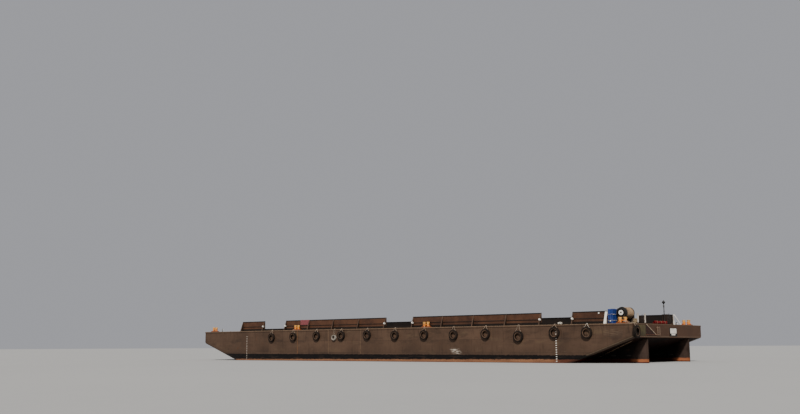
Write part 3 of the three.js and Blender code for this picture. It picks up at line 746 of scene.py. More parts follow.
def hull_outline(keel):
    """Half cross section from the deck's middle to the keel's middle: (y, z, finish)."""
    deck = [(y, DECK, 0) for y in np.linspace(0.0, 4.2, 15)] + [(4.4, DECK, 0)]
    strip = [(HALF_BEAM + 0.01, DECK, 0), (HALF_BEAM + 0.03, DECK - 0.02, 1),
             (HALF_BEAM + 0.03, DECK - 0.08, 1), (HALF_BEAM, DECK - 0.11, 1)]
    side = [(HALF_BEAM, z, 1) for z in np.linspace(DECK - 0.11, keel + BILGE_RADIUS, 9)[1:]]
    turns = [radians(90 * k / 6) for k in range(1, 7)]
    bilge = [(HALF_BEAM - BILGE_RADIUS * (1 - cos(a)), keel + BILGE_RADIUS * (1 - sin(a)), 1) for a in turns]
    bottom = [(y, keel, 2) for y in np.linspace(HALF_BEAM - BILGE_RADIUS, 0.0, 15)[1:]]
    return deck + strip + side + bilge + bottom


def plate_pull(x, along, seed):
    """How far thin plating has sunk between two frames, in metres."""
    frames = sin(pi * x / FRAME_SPACING) ** 2
    slow = 0.5 + 0.9 * ripple(x * 0.35, along * 0.8, seed)
    dent = max(0.0, ripple(x * 0.9, along * 1.3, seed + 9.0) - 0.32) * 0.03
    return 0.0035 * frames * max(slow, 0.1) + dent


def hull_stations():
    places = [BOW, STERN]
    for end, toward, length, rise in RAKES.values():
        slope = atan2(rise, length)
        reach = KNUCKLE_RADIUS * tan(slope / 2)
        middle = end - toward * length
        places += list(np.linspace(middle - reach, middle + reach * cos(slope), 9))
    places += list(np.arange(ceil(BOW / FRAME_SPACING * 3) * FRAME_SPACING / 3, STERN, FRAME_SPACING / 3))
    kept = []
    for x in sorted(places):
        if not kept or x - kept[-1] > 0.012 or x == STERN:
            kept.append(float(x))
    return kept


def make_hull(side_finish, bottom_finish, deck_finish):
    """Deck, straight sides, round bilges and raked ends in one closed shell of slightly sunken plates."""
    shape = Shape()
    stations = hull_stations()
    rings = []
    for x in stations:
        half = hull_outline(keel_height(x))
        inner = abs(x - BOW) > 0.05 and abs(x - STERN) > 0.05
        ring = []
        for hand in (1, -1):
            line = half if hand == 1 else half[-2:0:-1]
            for y, z, kind in line:
                if inner and kind == 1 and z < DECK - 0.12:
                    y -= plate_pull(x, z * 3, 3.0 * hand)
                if inner and kind == 0 and y < 4.3:
                    z -= plate_pull(x, y * hand * 0.7, 21.0)
                if inner and kind == 2 and 0.02 < y < HALF_BEAM - BILGE_RADIUS:
                    z += plate_pull(x, y * hand * 0.7, 47.0)
                ring.append((x, hand * y, z, kind))
        rings.append(ring)
    count = len(rings[0])
    shape.points = [p[:3] for ring in rings for p in ring]
    for s in range(len(rings) - 1):
        for i in range(count):
            j = (i + 1) % count
            kinds = (rings[s][i][3], rings[s][j][3])
            a, b = s * count + i, s * count + j
            shape.faces.append([a, b, b + count, a + count])
            # Finish 0 is the sides, 1 the bottom and 2 the deck.
            shape.slots.append(0 if 1 in kinds else 1 if kinds == (2, 2) else 2)
    shape.faces += [list(range(count)), list(range((len(rings) - 1) * count, len(rings) * count))]
    shape.slots += [0, 0]
    shape.box((STERN - 0.02, STERN + 0.03), (-4.415, 4.415), (1.70, 1.76))
    mesh = shape.mesh("hull_shell")
    new_piece("hull_shell", mesh, [side_finish, bottom_finish, deck_finish],
              sharp=28, replaces="hull")


make_floor()
HULL_SIDE = make_hull_side_finish()
HULL_BOTTOM = make_hull_bottom_finish()
DECK_PLATING = make_deck_finish()
make_hull(HULL_SIDE, HULL_BOTTOM, DECK_PLATING)


# Geometry node trees for what repeats or follows a path


def new_builder(name, **inputs):
    """An empty geometry tree."""
    tree = bpy.data.node_groups.new(name, "GeometryNodeTree")
    return new_inputs(tree, Geometry="Geometry", **inputs, Finish="Material")


def close_builder(wiring, given, copies):
    """Ends a tree: copies are made real and get their finish."""
    wiring.tree.interface.new_socket(name="Geometry", in_out="OUTPUT", socket_type="NodeSocketGeometry")
    real = wiring.get("GeometryNodeRealizeInstances", {"Geometry": copies})
    done = wiring.get("GeometryNodeSetMaterial", {"Geometry": real, "Material": given["Finish"]})
    wiring.node("NodeGroupOutput", {"Geometry": done})
    return wiring.tree


def make_row_builder():
    """Copies of the piece in a straight row."""
    w, given = new_builder("row_of_copies", Count=2, First="Vector", Step="Vector")
    line = w.get("GeometryNodeMeshLine", {
        "Count": given["Count"], "Start Location": given["First"], "Offset": given["Step"]}, mode="OFFSET")
    copies = w.get("GeometryNodeInstanceOnPoints", {"Points": line, "Instance": given["Geometry"]})
    return close_builder(w, given, copies)


def make_ring_builder():
    """Copies of the piece round the Y axis, each turned to face outwards. The piece points along +X."""
    w, given = new_builder("ring_of_copies", Count=8, Radius=0.1, Middle="Vector")
    ring = w.get("GeometryNodeMeshCircle", {"Vertices": given["Count"], "Radius": given["Radius"]})
    at = w.apart(w.get("GeometryNodeInputPosition"))
    turn = w.joined(0.0, 0.0, w.calc("ARCTAN2", at["Y"], at["X"]))
    copies = w.get("GeometryNodeInstanceOnPoints", {
        "Points": ring, "Instance": given["Geometry"], "Rotation": turn})
    stood = w.get("GeometryNodeTransform", {
        "Geometry": copies, "Translation": given["Middle"], "Rotation": (pi / 2, 0.0, 0.0)})
    return close_builder(w, given, stood)


def make_rope_builder():
    """Three twisted strands along a curve."""
    w, given = new_builder("laid_rope", Thickness=0.028, Lay_Length=0.1, Ring_Step=0.02, Round_Steps=12)
    even = w.get("GeometryNodeResampleCurve", {
        "Curve": given["Geometry"], "Length": given["Ring Step"]}, mode="LENGTH")
    along = w.get("GeometryNodeSplineParameter", output="Length")
    twist = along / given["Lay Length"] * (2 * pi)
    turned = w.get("GeometryNodeSetCurveTilt", {"Curve": even, "Tilt": twist})
    ring = w.get("GeometryNodeCurvePrimitiveCircle", {"Resolution": given["Round Steps"], "Radius": 1.0})
    at = w.get("GeometryNodeInputPosition")
    spots = w.apart(at)
    lobes = abs(w.calc("COSINE", w.calc("ARCTAN2", spots["Y"], spots["X"]) * 1.5))
    reach = (0.39 + lobes * 0.12) * given["Thickness"]
    places = w.get("ShaderNodeVectorMath", {0: at, "Scale": reach}, operation="SCALE")
    strands = w.get("GeometryNodeSetPosition", {"Geometry": ring, "Position": places})
    tube = w.get("GeometryNodeCurveToMesh", {"Curve": turned, "Profile Curve": strands, "Fill Caps": True})
    return close_builder(w, given, tube)


ROW = make_row_builder()
RING = make_ring_builder()
LAID_ROPE = make_rope_builder()


def built(tree, source, **sizes):
    """Runs a tree on a shape, mesh or curve and returns the result as a plain mesh."""
    carrier = new_object("carrier", as_mesh(source))
    modifier = carrier.modifiers.new("builder", "NODES")
    modifier.node_group = tree
    for socket in tree.interface.items_tree:
        label = socket.name.replace(" ", "_")
        if socket.in_out == "INPUT" and label in sizes:
            modifier[socket.identifier] = sizes[label]
    bpy.context.view_layer.update()
    mesh = bpy.data.meshes.new_from_object(carrier.evaluated_get(bpy.context.evaluated_depsgraph_get()))
    bpy.data.objects.remove(carrier)
    return mesh


def curve_through(points):
    """A poly curve through the points, for a rope or rail to follow."""
    curve = bpy.data.curves.new("path", "CURVE")
    curve.dimensions = "3D"
    line = curve.splines.new("POLY")
    line.points.add(len(points) - 1)
    for spot, place in zip(line.points, points):
        spot.co = (*place, 1.0)
    return curve


def eased(points, steps=6):
    """A smooth line through the points, as a Catmull-Rom spline."""
    spots = [Vector(p) for p in points]
    spots = [spots[0] * 2 - spots[1]] + spots + [spots[-1] * 2 - spots[-2]]
    line = []
    for a, b, c, d in zip(spots, spots[1:], spots[2:], spots[3:]):
        for k in range(steps):
            t = k / steps
            line.append(0.5 * (2 * b + (c - a) * t + (2 * a - 5 * b + 4 * c - d) * t ** 2
                               + (3 * b - a - 3 * c + d) * t ** 3))
    return line + [spots[-2]]


# Tyre fenders


def make_rubber_finish(name, base, worn):
    """Old tyre rubber: sun-bleached, cracked, muddy in the grooves and scuffed on the shoulders."""
    f = Finish(name)
    skin = f.effect(PAINT_SKIN, Tone_Size=0.22, Grain_Size=0.006)
    scuffs = f.effect(WORN_EDGES, Radius=0.012, Chip_Size=0.05)
    dust = f.effect(SETTLED_DUST, Amount=0.4)
    mud = f.grain(5.0, 6.0, 0.7)
    f.colour = f.mix(skin["Tone"], base, worn)
    f.coat(f.remap(mud, 0.54, 0.7, 0.0, 0.6), 52, 40, 31)
    f.coat(dust["Mask"] * 0.4, 74, 62, 50)
    f.coat(scuffs["Mask"] * 0.4, 62, 55, 49)
    cracks = f.node("ShaderNodeTexVoronoi", {"Vector": f.place, "Scale": 55.0}, feature="DISTANCE_TO_EDGE")
    lines = f.remap(cracks["Distance"], 0.0, 0.07)
    height = lines * 0.5 + skin["Height"]
    return f.set(Roughness=0.68 + mud * 0.3, Specular_IOR_Level=0.2, Normal=f.bump(height, 0.0015))


def make_rope_finish(name, light, dark, grime):
    """Laid rope, lighter on the crown of its strands and dirty in the grooves."""
    f = Finish(name)
    slow = f.grain(3.0, 5.0, 0.6)
    yarn = f.grain((260.0, 260.0, 416.0), 3.0, 0.7)
    groove = f.get("ShaderNodeNewGeometry", output="Pointiness")
    f.colour = f.mix(slow, dark, light)
    f.coat(f.remap(groove, 0.5, 0.42, 0.0, 0.8), grime)
    f.coat(f.remap(yarn, 0.5, 0.72, 0.0, 0.45), light)
    f.coat(f.remap(f.grain(7.0, 5.0), 0.55, 0.7, 0.0, 0.5), grime)
    return f.set(Roughness=0.9, Sheen_Weight=0.2, Normal=f.bump(yarn, 0.0012))


TYRE_RUBBER = make_rubber_finish("tyre_rubber", (13, 8, 6), (34, 24, 18))
DUSTY_RUBBER = make_rubber_finish("dusty_rubber", (38, 29, 23), (98, 76, 59))
PALE_RUBBER = make_rubber_finish("whitened_rubber", (120, 114, 104), (176, 170, 160))
WHITE_ROPE = make_rope_finish("white_rope", (226, 220, 208), (176, 168, 152), (104, 92, 76))
GREY_ROPE = make_rope_finish("grey_rope", (186, 168, 146), (132, 114, 96), (64, 52, 42))
OLD_ROPE = make_rope_finish("old_rope", (172, 142, 106), (104, 82, 60), (46, 36, 28))

TYRE_PLACES = [-55.2, -50.8, -46.25, -41.65, -37.05, -32.35, -27.65, -23.15, -18.5, -14.0, -9.3, -5.3]
TYRE_DROPS = [0.98, 0.94, 0.86, 0.85, 0.83, 0.92, 0.91, 0.98, 0.91, 1.25, 0.88, 0.94]
TYRE_RADII = [0.31] * 9 + [0.33] * 3
TYRE_WIDTH = 0.15
FENDER_MIDDLE = HALF_BEAM + GAP + TYRE_WIDTH / 2
SMALL_TYRE = {"x": aft(-42.95), "radius": 0.185, "drop": 0.55}
ROPE_EYE = 4.525

# Half of a used tyre's section, down to the middle of its tread: thousandths of its radius and of its width.
TYRE_OUTSIDE = mm("562 300, 562 385, 580 400, 620 412, 660 440, 675 462, 700 462, 720 474, 780 494, 820 497,"
                  "835 489, 870 480, 910 455, 945 420, 968 385, 977 300, 978 200, 962 185, 962 150,"
                  "980 135, 980 0")
TYRE_INSIDE = mm("882 0, 880 200, 868 320, 830 415, 770 432, 700 405, 630 340, 585 300")


def tyre_body(radius, width, segments=44):
    """A tyre on its side in the frame's plane: its axis is Y and its middle is the origin."""
    half = [(r * radius, w * width) for r, w in TYRE_OUTSIDE]
    inside = [(r * radius, w * width) for r, w in TYRE_INSIDE]
    profile = half + [(r, -w) for r, w in half[-2::-1]]
    profile += [(r, -w) for r, w in inside[::-1]] + [(r, w) for r, w in inside[1:]]
    shape = Shape().turned(profile, (0, 0, 0), (0, 1, 0), segments, closed=True)
    lug = Shape()
    deep, wide, long = 0.052 * radius, 0.10 * width, 0.045 * radius
    for hand in (1, -1):
        middle = hand * 0.395 * width
        low = [(-0.6 * deep, middle - wide, -long), (-0.6 * deep, middle + wide, -long),
               (-0.6 * deep, middle + wide, long), (-0.6 * deep, middle - wide, long)]
        top = [(deep * (0.45 if (y - middle) * hand < 0 else 0.045), y * 0.985, z * 0.8) for _, y, z in low]
        lug.add([(x, z, -y) for x, y, z in low + top],
                [(0, 1, 2, 3), (4, 7, 6, 5), (0, 4, 5, 1), (1, 5, 6, 2), (2, 6, 7, 3), (3, 7, 4, 0)])
    shape.ring(lug, 34, 0.962 * radius, (0.0, 0.0, 0.0))
    tyre = shape.mesh("tyre")
    # Dust lies on the lower sidewall, round the bead.
    for face in tyre.polygons:
        reach = hypot(face.center.x, face.center.z) / radius
        if 0.57 < reach < 0.69 and abs(face.center.y) > 0.39 * width:
            face.material_index = 1
    return tyre


TYRES = {size: tyre_body(*size) for size in mm("310 150, 330 150, 185 150, 345 170")}


def make_tyre(name, radius, width, centre, turn, finish, stern=False):
    place = Matrix.Translation(centre)
    if stern:
        place = place @ Matrix.Rotation(pi / 2, 4, "Z")
    tyre = TYRES[(radius, width)]
    shape = Shape().add_mesh(tyre, place @ Matrix.Rotation(turn, 4, "Y"))
    shape.slots[:] = [face.material_index for face in tyre.polygons]
    new_piece(name + "_tyre", shape, [finish, DUSTY_RUBBER], sharp=38, replaces=name)


def tyre_hanger(shape, x, side, drop, radius, thickness=0.021):
    """A tyre's rope: from an eye at the deck edge, over the rub strip, to two holes in the tread."""
    middle = DECK - drop
    strip = HALF_BEAM + 0.03 + thickness / 2 + 0.001
    for hand in (-1, 1):
        line = [(0.012, ROPE_EYE, DECK + 0.035), (0.02, 4.575, DECK + 0.026), (0.035, 4.602, DECK + 0.004),
                (0.05, strip, DECK - 0.03), (0.07, strip, DECK - 0.085),
                (0.28 * radius, strip + 0.012, (DECK - 0.1 + middle + radius) / 2),
                (0.46 * radius, FENDER_MIDDLE + 0.004, middle + 0.93 * radius),
                (0.50 * radius, FENDER_MIDDLE - 0.01, middle + 0.80 * radius)]
        points = [(x + hand * along, side * out, z) for along, out, z in line]
        shape.laid(eased(points, 5), thickness, thickness * 3.4, 0.022, 9)


def make_side_tyres():
    for name, side in SIDES.items():
        hangers, white = Shape(), Shape()
        for i, (full, drop, radius) in enumerate(zip(TYRE_PLACES, TYRE_DROPS, TYRE_RADII)):
            centre = (aft(full), side * FENDER_MIDDLE, DECK - drop / 2)
            make_tyre(f"tyre_fender_{name}_{i + 1}", radius, TYRE_WIDTH, centre, 0.37 * i + side, TYRE_RUBBER)
            tyre_hanger(white if i == 11 else hangers, aft(full), side, drop / 2, radius)
        if side < 0:
            x, radius, drop = SMALL_TYRE.values()
            centre = (x, -FENDER_MIDDLE, DECK - drop)
            make_tyre("tyre_fender_small", radius, TYRE_WIDTH, centre, 0.2, PALE_RUBBER)
            tyre_hanger(hangers, x, side, drop, radius, 0.018)
        new_piece(f"tyre_ropes_{name}", hangers, GREY_ROPE, sharp=60)
        new_piece(f"white_tyre_ropes_{name}", white, WHITE_ROPE, sharp=60)


make_side_tyres()
STERN_TYRE = {"radius": 0.345, "width": 0.17}
make_tyre("tyre_fender_stern", **STERN_TYRE, turn=0.1, finish=TYRE_RUBBER, stern=True,
          centre=(STERN + 0.03 + GAP + STERN_TYRE["width"] / 2, -4.37, 2.0))


# Side boards, their stays and the low sill under them


def painted_steel(name, light, dark, wear=0.6, worn=(96, 78, 64), rust_amount=0.22, patch=0.3, rough=0.58,
                  streaks=0.4, dust=0.3, edge=0.01, chip=0.03, metallic=0.0):
    """Weathered paint on steel: two tones, rain streaks, rust, chipped corners and dust on top."""
    f = Finish(name)
    wall = f.on_walls()
    paint = f.effect(PAINT_SKIN, Tone_Size=patch * 2.2, Grain_Size=0.01)
    rust = f.effect(RUST, Patch_Size=patch, Amount=rust_amount)
    runs = f.effect(RAIN_STREAKS, Place=wall, Streak_Width=0.035, Streak_Length=0.5, Amount=streaks)
    corners = f.effect(WORN_EDGES, Radius=edge, Chip_Size=chip)
    loose = f.effect(SETTLED_DUST, Amount=dust)
    f.colour = f.mix(paint["Tone"], dark, light)
    f.coat(runs["Mask"] * 0.55, 70, 48, 36)
    f.coat(rust["Mask"], rust["Colour"])
    f.coat(corners["Mask"] * wear, worn)
    f.coat(loose["Mask"] * 0.7, 76, 66, 58)
    height = rust["Height"] * 0.5 + paint["Height"] * 0.25 - corners["Mask"] * 0.3
    spread = rough + f.calc("MAXIMUM", rust["Mask"], loose["Mask"]) * 0.3
    return f.set(Roughness=spread, Metallic=metallic, Specular_IOR_Level=0.25, Normal=f.bump(height, 0.003))


BOARD_PAINT = painted_steel("board_outside", (88, 58, 40), (54, 34, 24), rust_amount=0.24, streaks=0.8,
                            worn=(96, 78, 62))
COAL_BLACK = painted_steel("board_inside", (32, 23, 18), (15, 11, 9), rust_amount=0.16, streaks=0.3,
                           rough=0.78, worn=(50, 40, 33))
BLACK_PAINT = painted_steel("black_paint", (30, 27, 25), (15, 13, 12), rust_amount=0.16, patch=0.2,
                            worn=(70, 57, 48), dust=0.4)
WHITE_PAINT = painted_steel("white_paint", (236, 233, 226), (206, 201, 190), rust_amount=0.1, patch=0.12,
                            streaks=0.25, dust=0.12, wear=0.5, worn=(120, 92, 72))
STAY_PAINT = painted_steel("stay_flange", (86, 66, 52), (52, 39, 31), rust_amount=0.22, patch=0.18)
# The stay webs are painted much darker than their flanges: painted shade for the sides of the stays away from
# the sun.
STAY_WEB_SHADED = painted_steel("stay_web", (46, 35, 28), (26, 20, 16), rust_amount=0.24, patch=0.18)

STAY_STEP = 2.305
WHITE_STAY = 12
BOARD_Y = 4.275
BOARD_TOP = 3.13
BOARD_BASE = 2.5806
BOARDS = {"1": (-1, 0, [0]), "2": (1, 5, [1, 5]), "3": (6, 10, [6, 10]), "4": (11, 12, [11])}


def stay_x(i):
    return aft(-57.5) + i * STAY_STEP if i < 11 else aft(-7.26 if i == 11 else -3.24)


def dented_plate(shape, x, z, inner, outer, side, slots, seed):
    """A thin upright plate, sunk a little between its stays, with a finish for each of its two skins."""
    across = max(2, round((x[1] - x[0]) / 0.16))
    up = 6
    for depth, slot in ((outer, slots[0]), (inner, slots[1])):
        points = []
        for k in range(up + 1):
            for i in range(across + 1):
                at_x = x[0] + (x[1] - x[0]) * i / across
                at_z = z[0] + (z[1] - z[0]) * k / up
                lean = sin(pi * k / up) * 0.5 * (
                    0.012 * ripple(at_x * 1.1, at_z * 2.0, seed)
                    + 0.016 * max(0.0, ripple(at_x * 2.3, at_z * 2.6, seed + 5.0) - 0.2))
                points.append((at_x, side * (depth - lean), at_z))
        row = across + 1
        faces = grid_faces(up + 1, row)
        middle = (outer + inner) / 2
        rim = list(range(row)) + [k * row + across for k in range(1, up + 1)]
        rim += [up * row + i for i in range(across - 1, -1, -1)] + [k * row for k in range(up - 1, 0, -1)]
        start = len(points)
        points += [(points[i][0], side * middle, points[i][2]) for i in rim]
        count = len(rim)
        faces += [(rim[i], rim[(i + 1) % count], start + (i + 1) % count, start + i) for i in range(count)]
        shape.add(points, faces, slot)


def stay_shape(side, width):
    """One stay: a web, a sloping flange outside it, a foot pad and its bolts."""
    foot, shelf, head = DECK + GAP, BOARD_BASE + 0.001, BOARD_TOP - 0.04
    web = [(BOARD_Y, head), (BOARD_Y, shelf), (4.2903, shelf), (4.2903, foot), (4.544, foot), (4.295, head)]
    flange = [(4.536, foot), (4.55, foot), (4.309, head), (4.291, head)]
    shape = Shape().prism([(side * y, z) for y, z in web], "x", (-0.007, 0.007), 1)
    shape.prism([(side * y, z) for y, z in flange], "x", (-width / 2, width / 2), 0)
    shape.box((-0.06, 0.06), (side * 4.44, side * 4.556), (foot, foot + 0.014), 1)
    gusset = [(side * 4.30, 2.60), (side * 4.30, 2.72), (side * 4.40, 2.60)]
    shape.prism(gusset, "x", (-0.028, -0.02), 1)
    for x in (-0.045, 0.045):
        for y in (4.458, 4.515):
            shape.disc(0.011, (0, 0.009), (x, side * y, foot + 0.014), segments=6, slot=1)
    return shape


def add_copies(shape, source, count, first, step):
    """Adds a straight row of a shape, each of its finishes in turn."""
    for slot in sorted(set(source.slots)):
        part = Shape()
        part.points = source.points
        part.faces = [face for face, kind in zip(source.faces, source.slots) if kind == slot]
        part.slots = [0] * len(part.faces)
        mesh = part.mesh("part")
        loose = bmesh.new()
        loose.from_mesh(mesh)
        bmesh.ops.delete(loose, geom=[v for v in loose.verts if not v.link_faces], context="VERTS")
        loose.to_mesh(mesh)
        loose.free()
        shape.row(mesh, count, first, step, slot=slot)


def make_side_board(name, side, first, last, sockets):
    """A run of board with its rail, stiffener, stays and white chain sockets."""
    shape = Shape()
    x = (stay_x(first) - 0.04, stay_x(last) + 0.04)
    seed = 3.0 * side + first
    dented_plate(shape, x, (BOARD_BASE, BOARD_TOP - 0.02), 4.265, 4.285, side, (0, 1), seed)
    ends = (x[0] - 0.004, x[1] + 0.004)
    shape.box(ends, (side * 4.241, side * 4.301), (3.08, BOARD_TOP), 2)
    shape.box(x, (side * 4.28, side * 4.315), (2.752, 2.76), 2)
    shape.box(x, (side * 4.307, side * 4.315), (2.73, 2.756), 2)
    shape.box(x, (side * 4.245, side * 4.29), (BOARD_BASE, 2.6106), 0)
    for i in range(first, last + 1):
        for hand in (-1, 1):
            lap = (stay_x(i) + hand * 0.055, stay_x(i) + hand * 0.063)
            shape.box(lap, (side * 4.284, side * 4.289), (2.62, 3.08), 0)
    for end in (x[0] + 0.004, x[1] - 0.012):
        shape.box((end, end + 0.008), (side * 4.235, side * 4.262), (BOARD_BASE + 0.03, 3.08), 1)
    bolt = Shape().disc(0.012, (0, 0.01), (0, 0, 0), (0, side, 0), 6)
    bolts = round((x[1] - x[0]) / 0.288)
    shape.row(bolt, bolts, (x[0] + 0.1, side * 4.3, 3.105), ((x[1] - x[0] - 0.2) / (bolts - 1), 0, 0), slot=2)
    plain = [i for i in range(first, last + 1) if i != WHITE_STAY]
    if last == WHITE_STAY:
        spot = (stay_x(last) - 0.45, side * 4.298, 3.02)
        shape.turned(mm("0 0, 45 0, 45 16, 30 24, 0 24"), spot, (0, side, 0), 20, slot=5)
        shape.add_mesh(stay_shape(side, 0.135).mesh("wide_stay"), (stay_x(last), 0, 0), 5)
    stay = stay_shape(side, 0.07)
    stay.slots = [s + 3 for s in stay.slots]
    add_copies(shape, stay, len(plain), (stay_x(plain[0]), 0, 0), (STAY_STEP, 0, 0))
    for i in sockets:
        at = Vector((stay_x(i) - 0.045, side * 4.4225, 2.75))
        ring = mm("38 0, 47 -6, 58 0, 58 90, 47 96, 38 90")
        shape.turned(ring, at, (1, 0, 0), 24, closed=True, slot=5)
        shape.disc(0.04, (0.03, 0.06), at, (1, 0, 0), 24, slot=5)
    finishes = [BOARD_PAINT, COAL_BLACK, BLACK_PAINT, STAY_PAINT, STAY_WEB_SHADED, WHITE_PAINT]
    new_piece(name + "_plate", shape, finishes, bevel=0.0025, sharp=30, replaces=name)


def make_sill(name, side):
    """The low sill that the boards stand on, with drain slots drawn as shallow recesses."""
    shape = Shape()
    x = (stay_x(-1) - 0.06, stay_x(12) + 0.06)
    y = sorted((side * 4.262, side * 4.288))
    shape.box(x, y, (DECK + GAP, 2.5803))
    shape.box(x, sorted((side * 4.26, side * 4.29)), (2.568, 2.5803))
    shape.box(x, sorted((side * 4.26, side * 4.29)), (DECK + GAP, DECK + 0.016))
    lug = Shape().box((-0.004, 0.004), sorted((side * 4.24, side * 4.262)), (DECK + GAP, 2.56))
    count = round((x[1] - x[0]) / FRAME_SPACING / 2)
    shape.row(lug, count, (x[0] + 0.1, 0, 0), ((x[1] - x[0] - 0.2) / (count - 1), 0, 0))
    new_piece(name + "_sill", shape, COAL_BLACK, bevel=0.002, replaces=name)


for side_name, hand in SIDES.items():
    make_sill(f"coaming_{side_name}", hand)
    for number, (first_stay, last_stay, with_sockets) in BOARDS.items():
        make_side_board(f"side_board_{side_name}_{number}", hand, first_stay, last_stay, with_sockets)


# Skegs


def make_skeg_finish():
    """Skeg plates: near-black painted shade forward, grey-brown painted sunlight aft, salmon paint and a dark
    foot.
    """
    f = Finish("skeg_plating")
    at = f.apart(f.place)
    up = at["Z"]
    wall = f.on_walls()
    paint = f.effect(PAINT_SKIN, Tone_Size=0.7, Grain_Size=0.02)
    rust = f.effect(RUST, Patch_Size=0.3, Amount=0.2)
    runs = f.effect(RAIN_STREAKS, Place=wall, Streak_Width=0.06, Streak_Length=0.8, Amount=0.6)
    # Painted light: along a slanting line the plates go from painted shade forward and up to painted sunlight
    # at the aft lower corner, where the sun reaches under the transom.
    slant = at["X"] - up * 0.45
    painted_sunlit_aft = f.remap(slant + f.grain(1.6, 4.0) * 0.4, 16.25, 16.75)
    f.colour = f.mix(paint["Tone"], f.mix(painted_sunlit_aft, (12, 8, 7), (42, 32, 27)),
                     f.mix(painted_sunlit_aft, (22, 15, 12), (68, 54, 47)))
    f.coat(runs["Mask"] * 0.6, 26, 20, 17)
    f.coat(rust["Mask"] * 0.6, rust["Colour"])
    ragged = (f.grain(4.0, 5.0, 0.7) - 0.5) * 0.09
    line = up + ragged
    streaks = f.noise(wall, (1.2, 9.0, 1.0), 4.0)
    # The salmon band is darkened by the same painted shade forward.
    f.coat(f.remap(line, 0.57, 0.54), f.mix(painted_sunlit_aft, (58, 22, 14), f.mix(streaks, (100, 54, 32), (176, 110, 74))))
    f.coat(f.remap(line, 0.41, 0.38), 66, 25, 16)
    height = rust["Height"] * 0.5 + paint["Height"] * 0.2
    return f.set(Roughness=0.62 + rust["Mask"] * 0.25, Specular_IOR_Level=0.12, Normal=f.bump(height, 0.004))


def make_skeg(name, side):
    """A skeg under the stern rake: its plate, the thick aft post, flat bars along it and two zinc blocks."""
    _, _, length, rise = RAKES["stern"]
    slope = rise / length
    clear = GAP * hypot(1, slope) + 0.0001
    back, floor = STERN - 0.006, 0.005
    tip = STERN - length + 0.24 / slope

    def under(x):
        return rise - (STERN - x) * slope - clear

    shape = Shape()
    y = side * 2.75

    def plate(x0, x1, low, tops, y_span):
        shape.prism([(x0, low), (x1, low), (x1, tops[1]), (x0, tops[0])], "y", y_span)

    plate(tip, back, floor, (under(tip), under(back)), (y - 0.03, y + 0.03))
    plate(back - 0.08, back, floor, (under(back - 0.08), under(back)), (y - 0.045, y + 0.045))
    for hand_y in (-1, 1):
        near = (y + hand_y * 0.03, y + hand_y * 0.042)
        shape.prism([(tip + 0.3, floor), (back - 0.08, floor), (back - 0.08, floor + 0.05),
                     (tip + 0.25, floor + 0.05)], "y", near)
        for share in (0.35, 0.6, 0.84):
            x = tip + (back - tip) * share
            plate(x - 0.006, x + 0.006, floor + 0.05, (under(x) - 0.04, under(x) - 0.04), near)
        for share in (0.5, 0.72):
            x = tip + (back - tip) * share
            zinc = (y + hand_y * 0.03, y + hand_y * 0.066)
            ends = mm("-120 720, -100 700, 100 700, 120 720, 120 760, 100 780, -100 780, -120 760")
            shape.prism([(x + a, b) for a, b in ends], "y", zinc, 1)
            shape.box((x - 0.18, x + 0.18), (y + hand_y * 0.03, y + hand_y * 0.037), (0.73, 0.75), 1)
    # The zinc blocks are painted dark grey: painted shade, as they sit in the hull's shadow.
    shaded_zinc_finish = painted_steel("zinc_block", (58, 55, 51), (38, 36, 33), rust_amount=0.12, patch=0.1,
                                metallic=0.4)
    new_piece(name + "_plate", shape, [SKEG_PLATING, shaded_zinc_finish], bevel=0.004,
              steps=2, replaces=name)


SKEG_PLATING = make_skeg_finish()
make_skeg("skeg_near", -1)
make_skeg("skeg_far", 1)


# Bitts

BITT_PLACES = {"bow": (-68.5, 4.3), "forward": (-50.46, 4.425), "middle": (-27.6, 4.425),
               "stern": (-1.45, 4.21)}
BITT = {"spacing": 0.29, "radius": 0.085, "cap": 0.098, "height": 0.335}


def make_bitt_finish():
    """Yellow bitts: cream heads, partly bleached by sun and rope and partly a painted highlight on top,
    orange primer low down, bright scored rings.
    """
    f = Finish("bitt_yellow")
    up = f.apart(f.place)["Z"] - DECK
    paint = f.effect(PAINT_SKIN, Tone_Size=0.3, Grain_Size=0.006)
    rust = f.effect(RUST, Patch_Size=0.08, Amount=0.46)
    corners = f.effect(WORN_EDGES, Radius=0.01, Chip_Size=0.02)
    runs = f.effect(RAIN_STREAKS, Place=f.on_walls(), Streak_Width=0.02, Streak_Length=0.2, Amount=0.65)
    f.colour = f.mix(paint["Tone"], (204, 112, 26), (228, 140, 44))
    # The cream on the heads is partly bleaching and partly a painted highlight on the tops of the posts.
    faded = f.remap(up + f.grain(9.0, 4.0) * 0.1, 0.2, 0.34)
    f.coat(faded * 0.75, 246, 190, 96)
    primer = f.remap(up + f.grain(14.0, 5.0, 0.7) * 0.12, 0.17, 0.11)
    f.coat(primer, 116, 56, 24)
    chafed = f.band(up, 0.2, 0.285, 0.02) * f.remap(f.grain((6.0, 6.0, 60.0), 4.0), 0.5, 0.62)
    f.coat(chafed * 0.6, 120, 104, 88)
    f.coat(runs["Mask"] * 0.6, 96, 46, 20)
    f.coat(rust["Mask"], rust["Colour"])
    f.coat(corners["Mask"] * 0.75, 110, 72, 46)
    height = rust["Height"] * 0.6 + paint["Height"] * 0.2 - chafed * 0.3
    return f.set(Roughness=0.42 + rust["Mask"] * 0.4, Normal=f.bump(height, 0.003))


